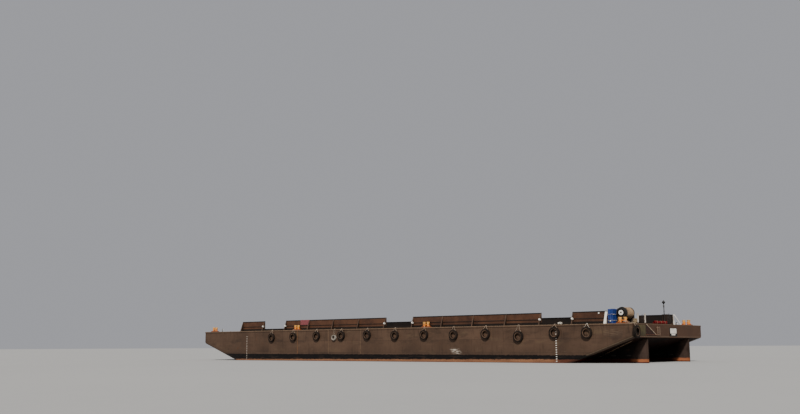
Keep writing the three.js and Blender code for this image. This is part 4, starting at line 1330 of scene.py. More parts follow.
def bitt_shape():
    """Two capped posts with a cross bar, on a stiffened base plate with its weld beads."""
    shape = Shape()
    radius, cap, height = BITT["radius"], BITT["cap"], BITT["height"]
    base = mm("-375 -100, -360 -115, 360 -115, 375 -100, 375 100, 360 115, -360 115, -375 100")
    shape.prism(base, "z", (0.0, 0.022))
    shape.prism([(x * 0.93, y * 0.86) for x, y in base], "z", (0.02, 0.06))
    shape.rod((-BITT["spacing"] / 2, 0, 0.165), (BITT["spacing"] / 2, 0, 0.165), 0.025, 20)
    for hand in (-1, 1):
        x = hand * BITT["spacing"] / 2
        profile = [(0, 0.01), (radius + 0.012, 0.06), (radius + 0.003, 0.072), (radius, 0.085),
                   (radius, height - 0.04), (cap - 0.003, height - 0.031), (cap, height - 0.026),
                   (cap, height - 0.012), (cap - 0.004, height - 0.006), (cap - 0.014, height - 0.001),
                   (cap * 0.6, height), (0, height)]
        shape.turned(profile, (x, 0, 0), segments=40)
        stop = x + hand * radius
        shape.prism([(stop, 0.058), (stop + hand * 0.075, 0.058), (stop + hand * 0.075, 0.068), (stop, 0.16)],
                    "y", (-0.008, 0.008))
        horn = [(x + hand * out, 0, height - 0.06) for out in (radius * 0.9, radius + 0.045)]
        shape.rod(*horn, 0.011, 14)
    stud = Shape().turned(mm("0 0, 13 0, 13 10, 6 14, 0 14"), (0, 0, 0.022), segments=8)
    for y in (-0.106, 0.106):
        shape.row(stud, 6, (-0.34, y, 0.0), (0.136, 0, 0))
    return shape


def make_all_bitts():
    source = bitt_shape().mesh("bitts")
    for side_name, side in SIDES.items():
        for place, (full, y) in BITT_PLACES.items():
            shape = Shape().add_mesh(source, (aft(full), side * y, DECK + GAP))
            name = f"bitts_{place}_{side_name}"
            new_piece(name + "_posts", shape, BITT_YELLOW, bevel=0.0025, steps=2,
                      sharp=40, replaces=name)


BITT_YELLOW = make_bitt_finish()
make_all_bitts()


# Stern winch

SHAFT = Vector((STERN - 1.25, 0.0, 3.05))
CHEEKS = (-3.225, -2.275)
FLANGE_RADIUS = 0.315
ROPE_RADIUS = 0.285


def make_winch_bed():
    """Two cheeks on cross beams, with bearings, a brake band, the gear housing and its finned motor."""
    shape = Shape()
    x0, base = SHAFT.x, DECK + GAP
    cheek = mm("-330 0, 330 0, 330 110, 95 670, 50 710, -50 710, -95 670, -330 110")
    for y in CHEEKS:
        shape.prism([(x0 + a, base + b) for a, b in cheek], "y", (y - 0.0175, y + 0.0175))
        out = copysign(1.0, y - sum(CHEEKS) / 2)
        for a, b in ((0, 1), (2, 3), (6, 7)):
            (xa, za), (xb, zb) = cheek[a], cheek[b]
            along = Vector((xb - xa, 0, zb - za)).normalized() * 0.004
            side = Vector((-along.z, 0, along.x)) * 3.0
            corners = [(x0 + xa, base + za), (x0 + xb, base + zb),
                       (x0 + xb + side.x, base + zb + side.z), (x0 + xa + side.x, base + za + side.z)]
            shape.prism(corners, "y", (y - 0.03, y + 0.03))
        shape.turned(mm("41 -30, 85 -30, 95 -22, 95 22, 85 30, 41 30"), (x0, y, SHAFT.z), (0, 1, 0), 36,
                     closed=True)
        shape.box((x0 - 0.3, x0 + 0.3), (y + out * 0.0175, y + out * 0.04), (base, base + 0.012))
    for a in (-0.25, 0.25):
        beam = (x0 + a - 0.04, x0 + a + 0.04)
        shape.box(beam, CHEEKS, (base, base + 0.01))
        shape.box((x0 + a - 0.006, x0 + a + 0.006), CHEEKS, (base, base + 0.07))
        shape.box(beam, CHEEKS, (base + 0.06, base + 0.07))
    gear = (x0 - 0.15, x0 + 0.19)
    shape.box(gear, (-2.275, -2.065), (base, SHAFT.z + 0.13))
    shape.box((gear[0] - 0.012, gear[1] + 0.012), (-2.12, -2.10), (base, SHAFT.z + 0.14))
    rib = Shape()
    rib.box((gear[0] - 0.01, gear[1] + 0.01), (-2.255, -2.247), (2.52, SHAFT.z + 0.137))
    shape.row(rib, 4, (0, 0, 0), (0, 0.034, 0))
    motor = (x0 - 0.06, -2.125, SHAFT.z - 0.4)
    shape.turned(mm("0 0, 75 0, 75 20, 88 30, 88 200, 98 205, 105 215, 105 250, 90 268, 50 270, 0 270"),
                 motor, (0, 1, 0), 32)
    fin = Shape().box((-0.002, 0.017), (-0.002, 0.002), (-0.085, 0.085))
    shape.ring(fin, 24, 0.087, (motor[0], motor[1] + 0.115, motor[2]))
    shape.box((x0 - 0.13, x0 + 0.01), (-2.035, -1.875), (base, SHAFT.z - 0.48))
    shape.box((x0 - 0.10, x0 - 0.02), (-2.06, -1.97), (SHAFT.z - 0.33, SHAFT.z - 0.26))
    nut = Shape().disc(0.014, (0, 0.012), (0, 0, 0), (0, -1, 0), 6)
    shape.ring(nut, 6, 0.075, (x0, CHEEKS[0] - 0.03, SHAFT.z))
    foot_nut = Shape().disc(0.014, (0, 0.012), (0, 0, 0), segments=6)
    for y in (CHEEKS[0] - 0.028, CHEEKS[1] + 0.028):
        shape.row(foot_nut, 5, (x0 - 0.26, y, base + 0.012), (0.13, 0, 0))
    turns = [radians(-40 + 260 * k / 30) for k in range(31)]
    band = [(x0 + cos(turn) * 0.324, SHAFT.z - sin(turn) * 0.324) for turn in turns]
    for (xa, za), (xb, zb) in zip(band, band[1:]):
        grow = 1.028
        outer = [(x0 + (x - x0) * grow, SHAFT.z + (z - SHAFT.z) * grow) for x, z in ((xb, zb), (xa, za))]
        shape.prism([(xa, za), (xb, zb)] + outer, "y", (-3.197, -3.167))
    for x, z in (band[0], band[-1]):
        shape.box((x - 0.02, x + 0.02), (-3.2, -3.164), (z - 0.005, z + 0.03))
    new_piece("winch_bed_frame", shape, WINCH_STEEL, bevel=0.003, replaces="winch_bed")


def wound_rope(shape, radius, thickness, y_low, y_high, turns, wander, seed, slot, start=0.0):
    """Rope wound on the drum from one flange to the other, in turns that wander a little."""
    around, sides = 44, 8
    count = int(turns * around) + 1
    points = []
    for k in range(count):
        turn = start + 2 * pi * k / around
        share = k / (count - 1)
        y = y_low + (y_high - y_low) * share
        y += wander * ripple(cos(turn) * 0.8, sin(turn) * 0.8, share * turns * 0.35 + seed)
        y = min(max(y, min(y_low, y_high)), max(y_low, y_high))
        reach = radius + 0.35 * wander * ripple(share * turns * 0.9, turn * 0.2, seed + 4.0)
        out = Vector((cos(turn), 0.0, sin(turn)))
        middle = SHAFT + out * reach + Vector((0, y, 0))
        for s, (a, b) in enumerate(spun(sides, start=k * 0.9)):
            lobe = 0.5 + 0.05 * cos(6 * pi * s / sides)
            points.append(middle + (out * a + Vector((0, 1, 0)) * b) * thickness * lobe)
    faces = grid_faces(count, sides, True)
    faces += [tuple(range(sides)), tuple(range((count - 1) * sides, count * sides))]
    shape.add(points, faces, slot)


def make_winch_drum():
    """The drum: flanges with ribs, its shaft, the white head ring and two layers of old rope."""
    shape = Shape()
    middle = (SHAFT.x, 0.0, SHAFT.z)
    core = ROPE_RADIUS - 0.034
    flange, lip = FLANGE_RADIUS, FLANGE_RADIUS - 0.006
    shape.turned([(0, -3.205), (0.04, -3.205), (0.04, -3.2), (lip, -3.1995), (flange, -3.195),
                  (flange, -3.19), (lip, -3.1855), (core, -3.1855), (core, -2.3145), (lip, -2.3145),
                  (flange, -2.310), (flange, -2.305), (lip, -2.3005), (0.04, -2.3005), (0.04, -2.2375),
                  (0, -2.2375)],
                 middle, (0, 1, 0), 56)
    shape.disc(0.04, (-3.2495, -3.2), middle, (0, 1, 0), 32)
    ring = mm("48 -3326.5, 82 -3330.5, 132 -3330.5, 138 -3326.5, 138 -3308.5, 70 -3302, 70 -3252.5,"
              "48 -3252.5")
    shape.turned(ring, middle, (0, 1, 0), 48, closed=True, slot=1)
    shape.turned(mm("138.5 -3309.5, 138.5 -3325, 158 -3325.5, 165 -3320, 165 -3313, 160 -3309.5"), middle,
                 (0, 1, 0), 48, closed=True)
    shape.turned(mm("0 -3331, 30 -3331, 47.5 -3322, 47.5 -3260, 0 -3260"), middle, (0, 1, 0), 32)
    wound_rope(shape, ROPE_RADIUS - 0.017, 0.03, -3.168, -2.332, 28.0, 0.004, 1.0, 2)
    wound_rope(shape, ROPE_RADIUS + 0.0035, 0.027, -2.335, -2.78, 13.0, 0.03, 7.0, 2, 1.2)
    wound_rope(shape, ROPE_RADIUS + 0.0035, 0.027, -2.80, -3.16, 9.0, 0.05, 11.0, 2, 1.0)
    bolt = Shape().disc(0.011, (0, 0.008), (0, 0, 0), (0, 0, -1), 6)
    shape.ring(bolt, 8, 0.115, (0, 0, 0), place=(SHAFT.x, -2.3, SHAFT.z))
    new_piece("winch_drum_rope", shape, [BLACK_PAINT, WHITE_PAINT, OLD_ROPE], body="winch_drum",
              sharp=38, replaces="winch_drum")


WINCH_STEEL = painted_steel("winch_steel", (58, 50, 43), (32, 27, 23), rust_amount=0.34, patch=0.16,
                            worn=(130, 116, 100), dust=0.4)
make_winch_bed()
make_winch_drum()


# Access hatch, deck locker and light mast

HATCH = {"x": (STERN - 0.36, STERN - 0.15), "y": (-3.15, -2.83), "top": DECK + GAP + 0.42}
LOCKER = {"x": (STERN - 0.475, STERN - 0.16), "y": (0.225, 0.675), "top": DECK + GAP + 0.56}
HATCH_POST = {"x": STERN - 0.225, "y": (-3.425, -2.55), "height": 0.54, "radius": 0.04}
MAST = Vector((STERN - 0.25, 0.0, DECK + GAP))


def trunk_trim(box):
    """Foot flange, coaming bar, ribs, clips and a pad eye welded on the outside of a hatch or locker."""
    shape = Shape()
    (x0, x1), (y0, y1), low = box["x"], box["y"], DECK + GAP
    high = box["top"] - 0.075
    for z, out in ((low, 0.022), (high, 0.009)):
        thick = 0.008 if out > 0.01 else 0.018
        for x in ((x0 - out, x0), (x1, x1 + out)):
            shape.box(x, (y0 - out, y1 + out), (z, z + thick))
        for y in ((y0 - out, y0), (y1, y1 + out)):
            shape.box((x0, x1), y, (z, z + thick))
    rib = Shape()
    rib.prism([(0.0, low + 0.008), (0.018, low + 0.008), (0.006, high), (0.0, high)], "y", (-0.004, 0.004))
    deep, wide = (x1 - x0) / 4, (y1 - y0) / 4
    shape.row(rib, 3, (0, 0, 0), (0, wide, 0), place=(x1, y0 + wide, 0))
    for at, turn in (((x0 + deep, y1, 0), pi / 2), ((x1 - deep, y0, 0), -pi / 2)):
        turned = Matrix.Translation(at) @ Matrix.Rotation(turn, 4, "Z")
        shape.row(rib, 3, (0, 0, 0), (0, -deep, 0), place=turned)
    eye = mm("12 -5, 26 -5, 26 5, 12 5")
    for y in (y0 + 0.08, y1 - 0.08):
        shape.turned(eye, (x1 + 0.022, y, low + 0.16), (0, 1, 0), 18, closed=True)
    return shape


def lid_trim(box):
    """Raised panel, handle, hasp and two dogs on top of a lid. They turn with it."""
    shape = Shape()
    (x0, x1), (y0, y1), top = box["x"], box["y"], box["top"] + 0.0125
    inset = 0.045
    panel = [(x0 + inset, y0 + inset), (x1 - inset, y0 + inset), (x1 - inset, y1 - inset),
             (x0 + inset, y1 - inset)]
    middle = Vector(((x0 + x1) / 2, (y0 + y1) / 2, 0))
    points = [(x, y, top - 0.004) for x, y in panel]
    points += [(middle.x + (x - middle.x) * 0.93, middle.y + (y - middle.y) * 0.965, top + 0.005)
               for x, y in panel]
    walls = [(i, (i + 1) % 4, (i + 1) % 4 + 4, i + 4) for i in range(4)]
    shape.add(points, [(3, 2, 1, 0), (4, 5, 6, 7)] + walls)
    grip = eased([(x1 - 0.02, middle.y - 0.075, top - 0.004), (x1 - 0.018, middle.y - 0.07, top + 0.03),
                  (x1 - 0.016, middle.y - 0.045, top + 0.044), (x1 - 0.016, middle.y + 0.045, top + 0.044),
                  (x1 - 0.018, middle.y + 0.07, top + 0.03), (x1 - 0.02, middle.y + 0.075, top - 0.004)], 5)
    shape.bar(grip, 0.007, 12)
    for y in (y0 + 0.09, y1 - 0.09):
        shape.box((x1 + 0.0171, x1 + 0.0225), (y - 0.02, y + 0.02), (top - 0.052, top - 0.006))
        shape.disc(0.0065, (-0.026, 0.026), (x1 + 0.0285, y, top - 0.03), (0, 1, 0), 12)
        shape.box((x1 + 0.0225, x1 + 0.031), (y - 0.008, y + 0.008), (top - 0.06, top - 0.024))
    for y in (y0 - 0.01, y1 + 0.01):
        for x in (x0 + 0.07, x1 - 0.07):
            shape.turned(mm("0 0, 9 0, 9 6, 4 8, 0 8"), (x, y, top - 0.001), segments=8)
    return shape


def make_round_bar_builder():
    """A round bar or pipe along a curve."""
    w, given = new_builder("round_bar", Radius=0.01, Round_Steps=12)
    ring = w.get("GeometryNodeCurvePrimitiveCircle", {
        "Resolution": given["Round Steps"], "Radius": given["Radius"]})
    tube = w.get("GeometryNodeCurveToMesh", {
        "Curve": given["Geometry"], "Profile Curve": ring, "Fill Caps": True})
    return close_builder(w, given, tube)


def make_hatch_posts():
    """White post sleeves with caps, a painted foot ring and bolts."""
    shape = Shape()
    radius, height = HATCH_POST["radius"], HATCH_POST["height"]
    for y in HATCH_POST["y"]:
        shape.turned([(radius + 0.0002, 0.06), (radius + 0.0035, 0.062), (radius + 0.0035, height - 0.03),
                      (radius + 0.009, height - 0.024), (radius + 0.009, height - 0.008),
                      (radius + 0.003, height + 0.002), (0, height + 0.004), (0, height + 0.0002),
                      (radius + 0.0002, height + 0.0002)], (HATCH_POST["x"], y, DECK + GAP), segments=36)
        shape.turned([(radius, 0.0142), (radius + 0.02, 0.0142), (radius + 0.012, 0.022),
                      (radius + 0.004, 0.06), (radius, 0.06)],
                     (HATCH_POST["x"], y, DECK + GAP), segments=36, closed=True, slot=1)
        for across, out in spun(6, 0.062):
            at = (HATCH_POST["x"] + across, y + out, DECK + GAP + 0.014)
            shape.disc(0.008, (0, 0.008), at, segments=6, slot=1)
    new_piece("hatch_posts", shape, [POST_PAINT, BLACK_PAINT], sharp=40)


def make_light_mast():
    """Pole with its hinge, lamp and two-cone day shape. All of it folds with the mast."""
    shape = Shape()
    shape.turned(mm("0 35, 24.5 35, 24.5 160, 25.5 165, 25.5 200, 21 205, 21 740, 24 742, 24 770, 18.5 775,"
                    "18.5 970, 0 970"), MAST, segments=28)
    shape.turned(mm("18.5 1095, 16 1100, 16 1130, 0 1135, 0 1090, 18.5 1090"), MAST, segments=28)
    shape.turned(mm("0 967, 34 967, 40 972, 40 987, 30 992, 0 992"), MAST, segments=32)
    shape.turned(mm("0 1070, 31 1070, 39 1074, 39 1085, 20 1098, 0 1100"), MAST, segments=32)
    shape.turned(mm("0 992, 28 992, 32.5 998, 34 1030, 32.5 1064, 28 1070, 0 1070"), MAST, segments=32,
                 slot=1)
    for z in (1.012, 1.03, 1.048):
        shape.turned(mm("33.5 -2, 37 -2, 37 2, 33.5 2"), MAST + Vector((0, 0, z)), segments=32, closed=True)
    for x, y in spun(6, 0.0375):
        foot = MAST + Vector((x, y, 0.985))
        shape.rod(foot, foot + Vector((0, 0, 0.092)), 0.0022, 8)
    low, wide, high = 1.125, 0.1, 1.36
    middle = (low + high) / 2
    shape.turned([(0, low), (0.016, low + 0.004), (wide - 0.003, middle - 0.006), (wide, middle - 0.003),
                  (wide, middle + 0.003), (wide - 0.003, middle + 0.006), (0.014, high - 0.006), (0, high)],
                 MAST, segments=40, slot=2)
    for x, y in spun(8):
        foot = MAST + Vector((x * 0.017, y * 0.017, low + 0.006))
        rim = MAST + Vector((x * (wide - 0.002), y * (wide - 0.002), middle - 0.004))
        shape.rod(foot, rim, 0.0018, 6, slot=2)
    shape.disc(0.0115, (-0.052, 0.052), MAST + Vector((0, 0, 0.11)), (0, 1, 0), 20)
    for hand in (-1, 1):
        shape.disc(0.019, (0, 0.009), MAST + Vector((0, hand * 0.0435, 0.11)), (0, hand, 0), 6)
    wire = [MAST + Vector((0.027 + 0.0012 * (k % 2), 0.004, 0.24 + 0.06 * k)) for k in range(13)]
    wire.append(MAST + Vector((0.03, 0.004, 0.985)))
    shape.bar(eased(wire, 3), 0.004, 8)
    clip = Shape().box((0.018, 0.033), (-0.004, 0.011), (0.0, 0.009))
    shape.row(clip, 4, (0, 0, 0), (0, 0, 0.16), place=MAST + Vector((0, 0, 0.3)))
    new_piece("light_mast_pole", shape, [MAST_PAINT, LAMP_LENS, DAY_SHAPE], body="light_mast",
              bevel=0.0012, sharp=40, replaces="light_mast")


def make_lamp_lens():
    """Ribbed clear-white lamp glass, a little yellowed."""
    f = Finish("lamp_lens")
    ribs = f.calc("SINE", f.apart(f.place)["Z"] * (2 * pi / 0.006))
    grime = f.grain(60.0, 4.0)
    f.colour = f.mix(grime, (70, 66, 60), (104, 100, 92))
    return f.set(Roughness=0.12, Coat_Weight=0.6, Normal=f.bump(ribs + grime, 0.0008))


def make_day_shape_finish():
    """Matt black coated cloth over a frame, faded on top, with a fine weave."""
    f = Finish("day_shape_black")
    slow = f.grain(14.0, 4.0)
    weave = f.grain(420.0, 2.0)
    fade = f.remap(f.apart(f.facing)["Z"], -0.2, 0.9, 0.0, 0.6)
    f.colour = f.mix(slow * 0.4 + fade, (18, 17, 17), (46, 44, 43))
    return f.set(Roughness=0.85, Normal=f.bump(weave, 0.0006))


ROUND_BAR = make_round_bar_builder()
MAST_PAINT = painted_steel("mast_paint", (40, 36, 33), (22, 20, 18), rust_amount=0.2, patch=0.1,
                           worn=(72, 62, 54), streaks=0.2)
POST_PAINT = painted_steel("post_paint", (186, 176, 166), (150, 140, 131), rust_amount=0.14, patch=0.1,
                           streaks=0.35, dust=0.15, wear=0.6, worn=(110, 84, 66))
LOCKER_PAINT = painted_steel("locker_paint", (42, 31, 25), (24, 17, 14), rust_amount=0.24, patch=0.16,
                             worn=(98, 82, 70), dust=0.4, edge=0.006)
LAMP_LENS = make_lamp_lens()
DAY_SHAPE = make_day_shape_finish()

for node_name in ("hatch_trunk", "hatch_lid", "deck_locker", "deck_locker_lid"):
    refinish(node_name, LOCKER_PAINT)
refinish("mast_foot", MAST_PAINT)
for name, box, body in (("hatch", HATCH, "hatch_lid"), ("deck_locker", LOCKER, "deck_locker_lid")):
    new_piece(name + "_trim", trunk_trim(box), LOCKER_PAINT, bevel=0.0015)
    new_piece(name + "_lid_trim", lid_trim(box), LOCKER_PAINT, body=body, bevel=0.0015)
make_hatch_posts()
make_light_mast()


# Transom: ladder, blank sign board and the patch beside the stern tyre


def make_stern_ladder():
    """Ladder on stand-off brackets, and the triangular side frame: plate, light flange bars and bolts."""
    shape = Shape()
    face, out, half = STERN + GAP, STERN + 0.06, 0.013
    rails, low, high = (-1.62, -1.355), 1.80, 2.30
    for y in rails:
        shape.prism([(out - half, y - half), (out + half, y - half), (out + half, y + half),
                     (out - half, y + half)], "z", (low, high), 1)
        for z in (low + 0.06, high - 0.06):
            shape.box((face, out - half + 0.001), (y - 0.012, y + 0.012), (z - 0.012, z + 0.012), 1)
            shape.box((face, face + 0.006), (y - 0.03, y + 0.03), (z - 0.03, z + 0.03), 1)
    for i in range(4):
        z = low + 0.07 + i * (high - low - 0.13) / 3
        shape.rod((out, rails[0], z), (out, rails[1], z), 0.0105, 16, slot=1)
        for y in (rails[0] + 0.016, rails[1] - 0.016):
            shape.turned(mm("10.5 -3, 14.5 -3, 10.5 4"), (out, y, z), (0, 1, 0), 16, closed=True, slot=1)
    y, foot, base, top = -2.985, -1.785, 1.84, 2.415
    shape.prism([(y, base), (foot, base), (y, top)], "x", (face, face + 0.014))
    shape.prism([(y, top - 0.012), (y, top), (y + 0.05, top), (foot + 0.05, base), (foot - 0.009, base)],
                "x", (face, face + 0.036), 2)
    shape.box((face, face + 0.036), (y, rails[1]), (base, base + 0.012), 3)
    shape.box((face, face + 0.012), (y, rails[1]), (base, base + 0.03), 3)
    rib = Shape().box((face, face + 0.03), (-0.004, 0.004), (0.0, 1.0))
    source = rib.mesh("rib")
    for k in range(3):
        at = y + 0.24 * (k + 1)
        rise = (top - base) * (foot - at) / (foot - y)
        place = Matrix.Translation((0, at, base + 0.01)) @ Matrix.Diagonal((1, 1, rise - 0.01, 1))
        shape.add_mesh(source, place)
    bolt = Shape().disc(0.009, (0, 0.007), (0, 0, 0), (1, 0, 0), 6)
    shape.row(bolt, 8, (face + 0.012, y + 0.08, base + 0.021), (0, 0.2, 0), slot=1)
    new_piece("stern_ladder_frame", shape, [RED_BROWN, LADDER_PAINT, PALE_EDGE, RUST_EDGE],
              bevel=0.0015, replaces="stern_ladder")


def make_sign_board():
    """A black board on the transom with two blank white panels, held by screws."""
    shape = Shape()
    face = STERN + GAP
    shape.box((face, face + 0.012), (0.045, 1.035), (1.745, 2.25))
    for z in (1.75, 2.233):
        shape.box((face, face + 0.017), (0.045, 1.035), (z, z + 0.012))
    for y in (0.045, 1.023):
        shape.box((face, face + 0.017), (y, y + 0.012), (1.745, 2.25))
    shape.box((face + 0.012, face + 0.0155), (0.13, 0.965), (1.935, 2.22), 1)
    shape.box((face + 0.012, face + 0.0155), (0.28, 0.79), (1.835, 1.915), 1)
    screw = Shape().turned(mm("0 0, 8 0, 6 4, 0 5"), (0, 0, 0), (1, 0, 0), 10)
    source = screw.mesh("screw")
    for z in (1.95, 2.205):
        shape.row(source, 3, (face + 0.0155, 0.15, z), (0, 0.3975, 0))
    for z in (1.77, 2.228):
        shape.row(source, 2, (face + 0.012, 0.075, z), (0, 0.93, 0))
    new_piece("sign_board", shape, [BLACK_PAINT, WHITE_PAINT], bevel=0.001)


def make_olive_patch():
    """A doubler plate in odd olive primer, beside the stern tyre."""
    shape = Shape()
    face = STERN + GAP
    points = mm("-3900 1790, -3060 1790, -3020 1840, -3020 2320, -3070 2370, -3830 2370, -3900 2300")
    shape.prism(points, "x", (face - 0.002, face + 0.008))
    new_piece("transom_doubler", shape, OLIVE_PRIMER, bevel=0.003, steps=2)


RED_BROWN = painted_steel("red_brown_paint", (52, 26, 19), (30, 17, 13), rust_amount=0.26, patch=0.14)
LADDER_PAINT = painted_steel("ladder_paint", (140, 118, 100), (98, 78, 64), rust_amount=0.24, patch=0.09,
                             worn=(96, 68, 50), wear=0.7, streaks=0.4)
PALE_EDGE = painted_steel("pale_edge_paint", (196, 178, 156), (156, 138, 118), rust_amount=0.2, patch=0.09,
                          worn=(110, 78, 56), wear=0.8, streaks=0.4)
RUST_EDGE = painted_steel("rusty_edge_paint", (150, 92, 66), (110, 62, 44), rust_amount=0.3, patch=0.09,
                          worn=(90, 60, 44), streaks=0.4)
OLIVE_PRIMER = painted_steel("olive_primer", (84, 74, 44), (56, 48, 30), rust_amount=0.3, patch=0.2,
                             streaks=0.6)
make_stern_ladder()
make_sign_board()
make_olive_patch()


# Soft goods by the winch: the coil of rope, the blue cover and the rolled red cover

COIL = {"middle": (STERN - 0.64, -2.8), "rope": 0.028, "layer": 0.0265, "pitch": 0.0286, "hole": 0.076}
COIL_EDGE = mm("0 195, 93 195, 170 180, 248 152, 296 118")


def coil_line():
    """The rope's middle line, laid in rings from the outside in, then back out, layer on layer."""
    steps = 26
    line = []
    turn = 0.0
    inward = True
    count = 11
    for layer in range(count):
        height = COIL["rope"] / 2 + COIL["layer"] * layer
        edge = float(np.interp(height, [h for h, _ in COIL_EDGE], [r for _, r in COIL_EDGE]))
        turns = max(1.5, (edge - COIL["hole"]) / COIL["pitch"])
        points = int(turns * steps)
        for k in range(points):
            share = k / points
            radius = edge - (edge - COIL["hole"]) * (share if inward else 1 - share)
            # The rope climbs to the next layer over the last third of a turn.
            climb = max(0.0, 1 - (points - k) / (steps / 3)) if layer < count - 1 else 0.0
            at = Vector((cos(turn), sin(turn), layer * 0.4))
            radius += 0.003 * noise.noise(at * 1.3)
            lift = 0.002 * (0.5 + noise.noise(at * 1.7 + Vector((5.0, 2.0, 1.0)))) if layer else 0.0
            z = height + lift + COIL["layer"] * climb * climb * (3 - 2 * climb)
            line.append((COIL["middle"][0] + cos(turn) * radius, COIL["middle"][1] + sin(turn) * radius,
                         DECK + GAP + z))
            turn += 2 * pi / steps
        inward = not inward
    return line


def rope_tube(line, thickness, ring_step=0.0125, sides=9):
    """A three-strand rope as one tube along a line, and the middles of its rings."""
    spots = [Vector(p) for p in line]
    along = [0.0]
    for a, b in zip(spots, spots[1:]):
        along.append(along[-1] + (b - a).length)
    count = int(along[-1] / ring_step)
    path = []
    hold = 0
    for k in range(count + 1):
        reach = along[-1] * k / count
        while hold < len(along) - 2 and along[hold + 1] < reach:
            hold += 1
        share = (reach - along[hold]) / (along[hold + 1] - along[hold])
        path.append(spots[hold].lerp(spots[hold + 1], share))
    shape = Shape()
    side = Vector((0, 0, 1))
    rings = []
    for k, middle in enumerate(path):
        ahead = (path[min(k + 1, count)] - path[max(k - 1, 0)]).normalized()
        side = (side - ahead * side.dot(ahead)).normalized()
        other = ahead.cross(side)
        twist = 2 * pi * k * ring_step / (thickness * 3.6)
        for s in range(sides):
            angle = 2 * pi * s / sides
            reach = thickness * (0.46 + 0.065 * abs(cos(angle * 1.5)))
            rings.append(middle + (side * cos(angle + twist) + other * sin(angle + twist)) * reach)
    faces = grid_faces(count + 1, sides, True)
    faces += [tuple(range(sides))[::-1], tuple(range(count * sides, (count + 1) * sides))]
    shape.add(rings, faces)
    return shape, [tuple(p) for p in path], along[-1]


def make_rope_coil():
    thickness = COIL["rope"]
    shape, path, length = rope_tube(coil_line(), thickness)
    coil = new_piece("rope_coil_line", shape, COIL_ROPE, sharp=60, replaces="rope_coil")
    ends = Shape()
    for near, ahead in ((path[0], path[6]), (path[-1], path[-7])):
        start, way = Vector(near), (Vector(ahead) - Vector(near)).normalized()
        ends.turned(mm("0 -4, 12.5 -3, 15.8 0, 15.8 45, 13 48, 0 48"), start, way, 20)
    whipping = new_piece("rope_coil_whipping", ends, BLACK_TWINE, sharp=50)


COIL_ROPE = make_rope_finish("coil_rope", (172, 150, 116), (104, 88, 66), (46, 38, 30))
BLACK_TWINE = make_rope_finish("black_twine", (44, 42, 42), (24, 23, 23), (14, 13, 13))
make_rope_coil()


# Cloth


def settle(piece, blocks, frames, outer, friction, gap, **stiffness):
    """Lets a cloth settle on blocks under its own weight."""
    stands = []
    for block in blocks:
        stand = new_object("stand", block.mesh("stand"))
        stand.modifiers.new("collision", "COLLISION")
        stand.collision.thickness_outer = outer
        stand.collision.cloth_friction = friction
        stands.append(stand)
    cloth = piece.modifiers.new("cloth", "CLOTH")
    for name, value in {"quality": 7, **stiffness}.items():
        setattr(cloth.settings, name, value)
    cloth.collision_settings.distance_min = gap
    cloth.collision_settings.collision_quality = 3
    cloth.point_cache.frame_start = 1
    cloth.point_cache.frame_end = frames
    for number in range(1, frames + 1):
        bpy.context.scene.frame_set(number)
    plain_copy(piece)
    bpy.context.scene.frame_set(1)
    for stand in stands:
        bpy.data.objects.remove(stand)


def sheet_mesh(name, points, uvs, rows, columns):
    """Cloth as a grid of points, with its map in metres."""
    mesh = bpy.data.meshes.new(name)
    mesh.from_pydata(points, [], grid_faces(rows, columns))
    spread = mesh.uv_layers.new(name="metres")
    for loop in mesh.loops:
        spread.data[loop.index].uv = uvs[loop.vertex_index]
    return mesh


def thicken(cloth, thickness):
    skin = cloth.modifiers.new("cloth_thickness", "SOLIDIFY")
    skin.thickness = thickness
    skin.offset = 0.0
    plain_copy(cloth)
    smooth_by_angle(cloth.data, 80)


# Blue cover over the power pack

PACK = {"x": (15.49985, 15.74985), "y": (-3.5, -2.85), "top": 3.2403}
CINCH_HEIGHT = 2.635


def cover_section(height, hem):
    """How far the loose cloth stands off the pack at a height, before it settles."""
    share = (height - hem) / (PACK["top"] - hem)
    return 0.016 + 0.018 * (1 - share)


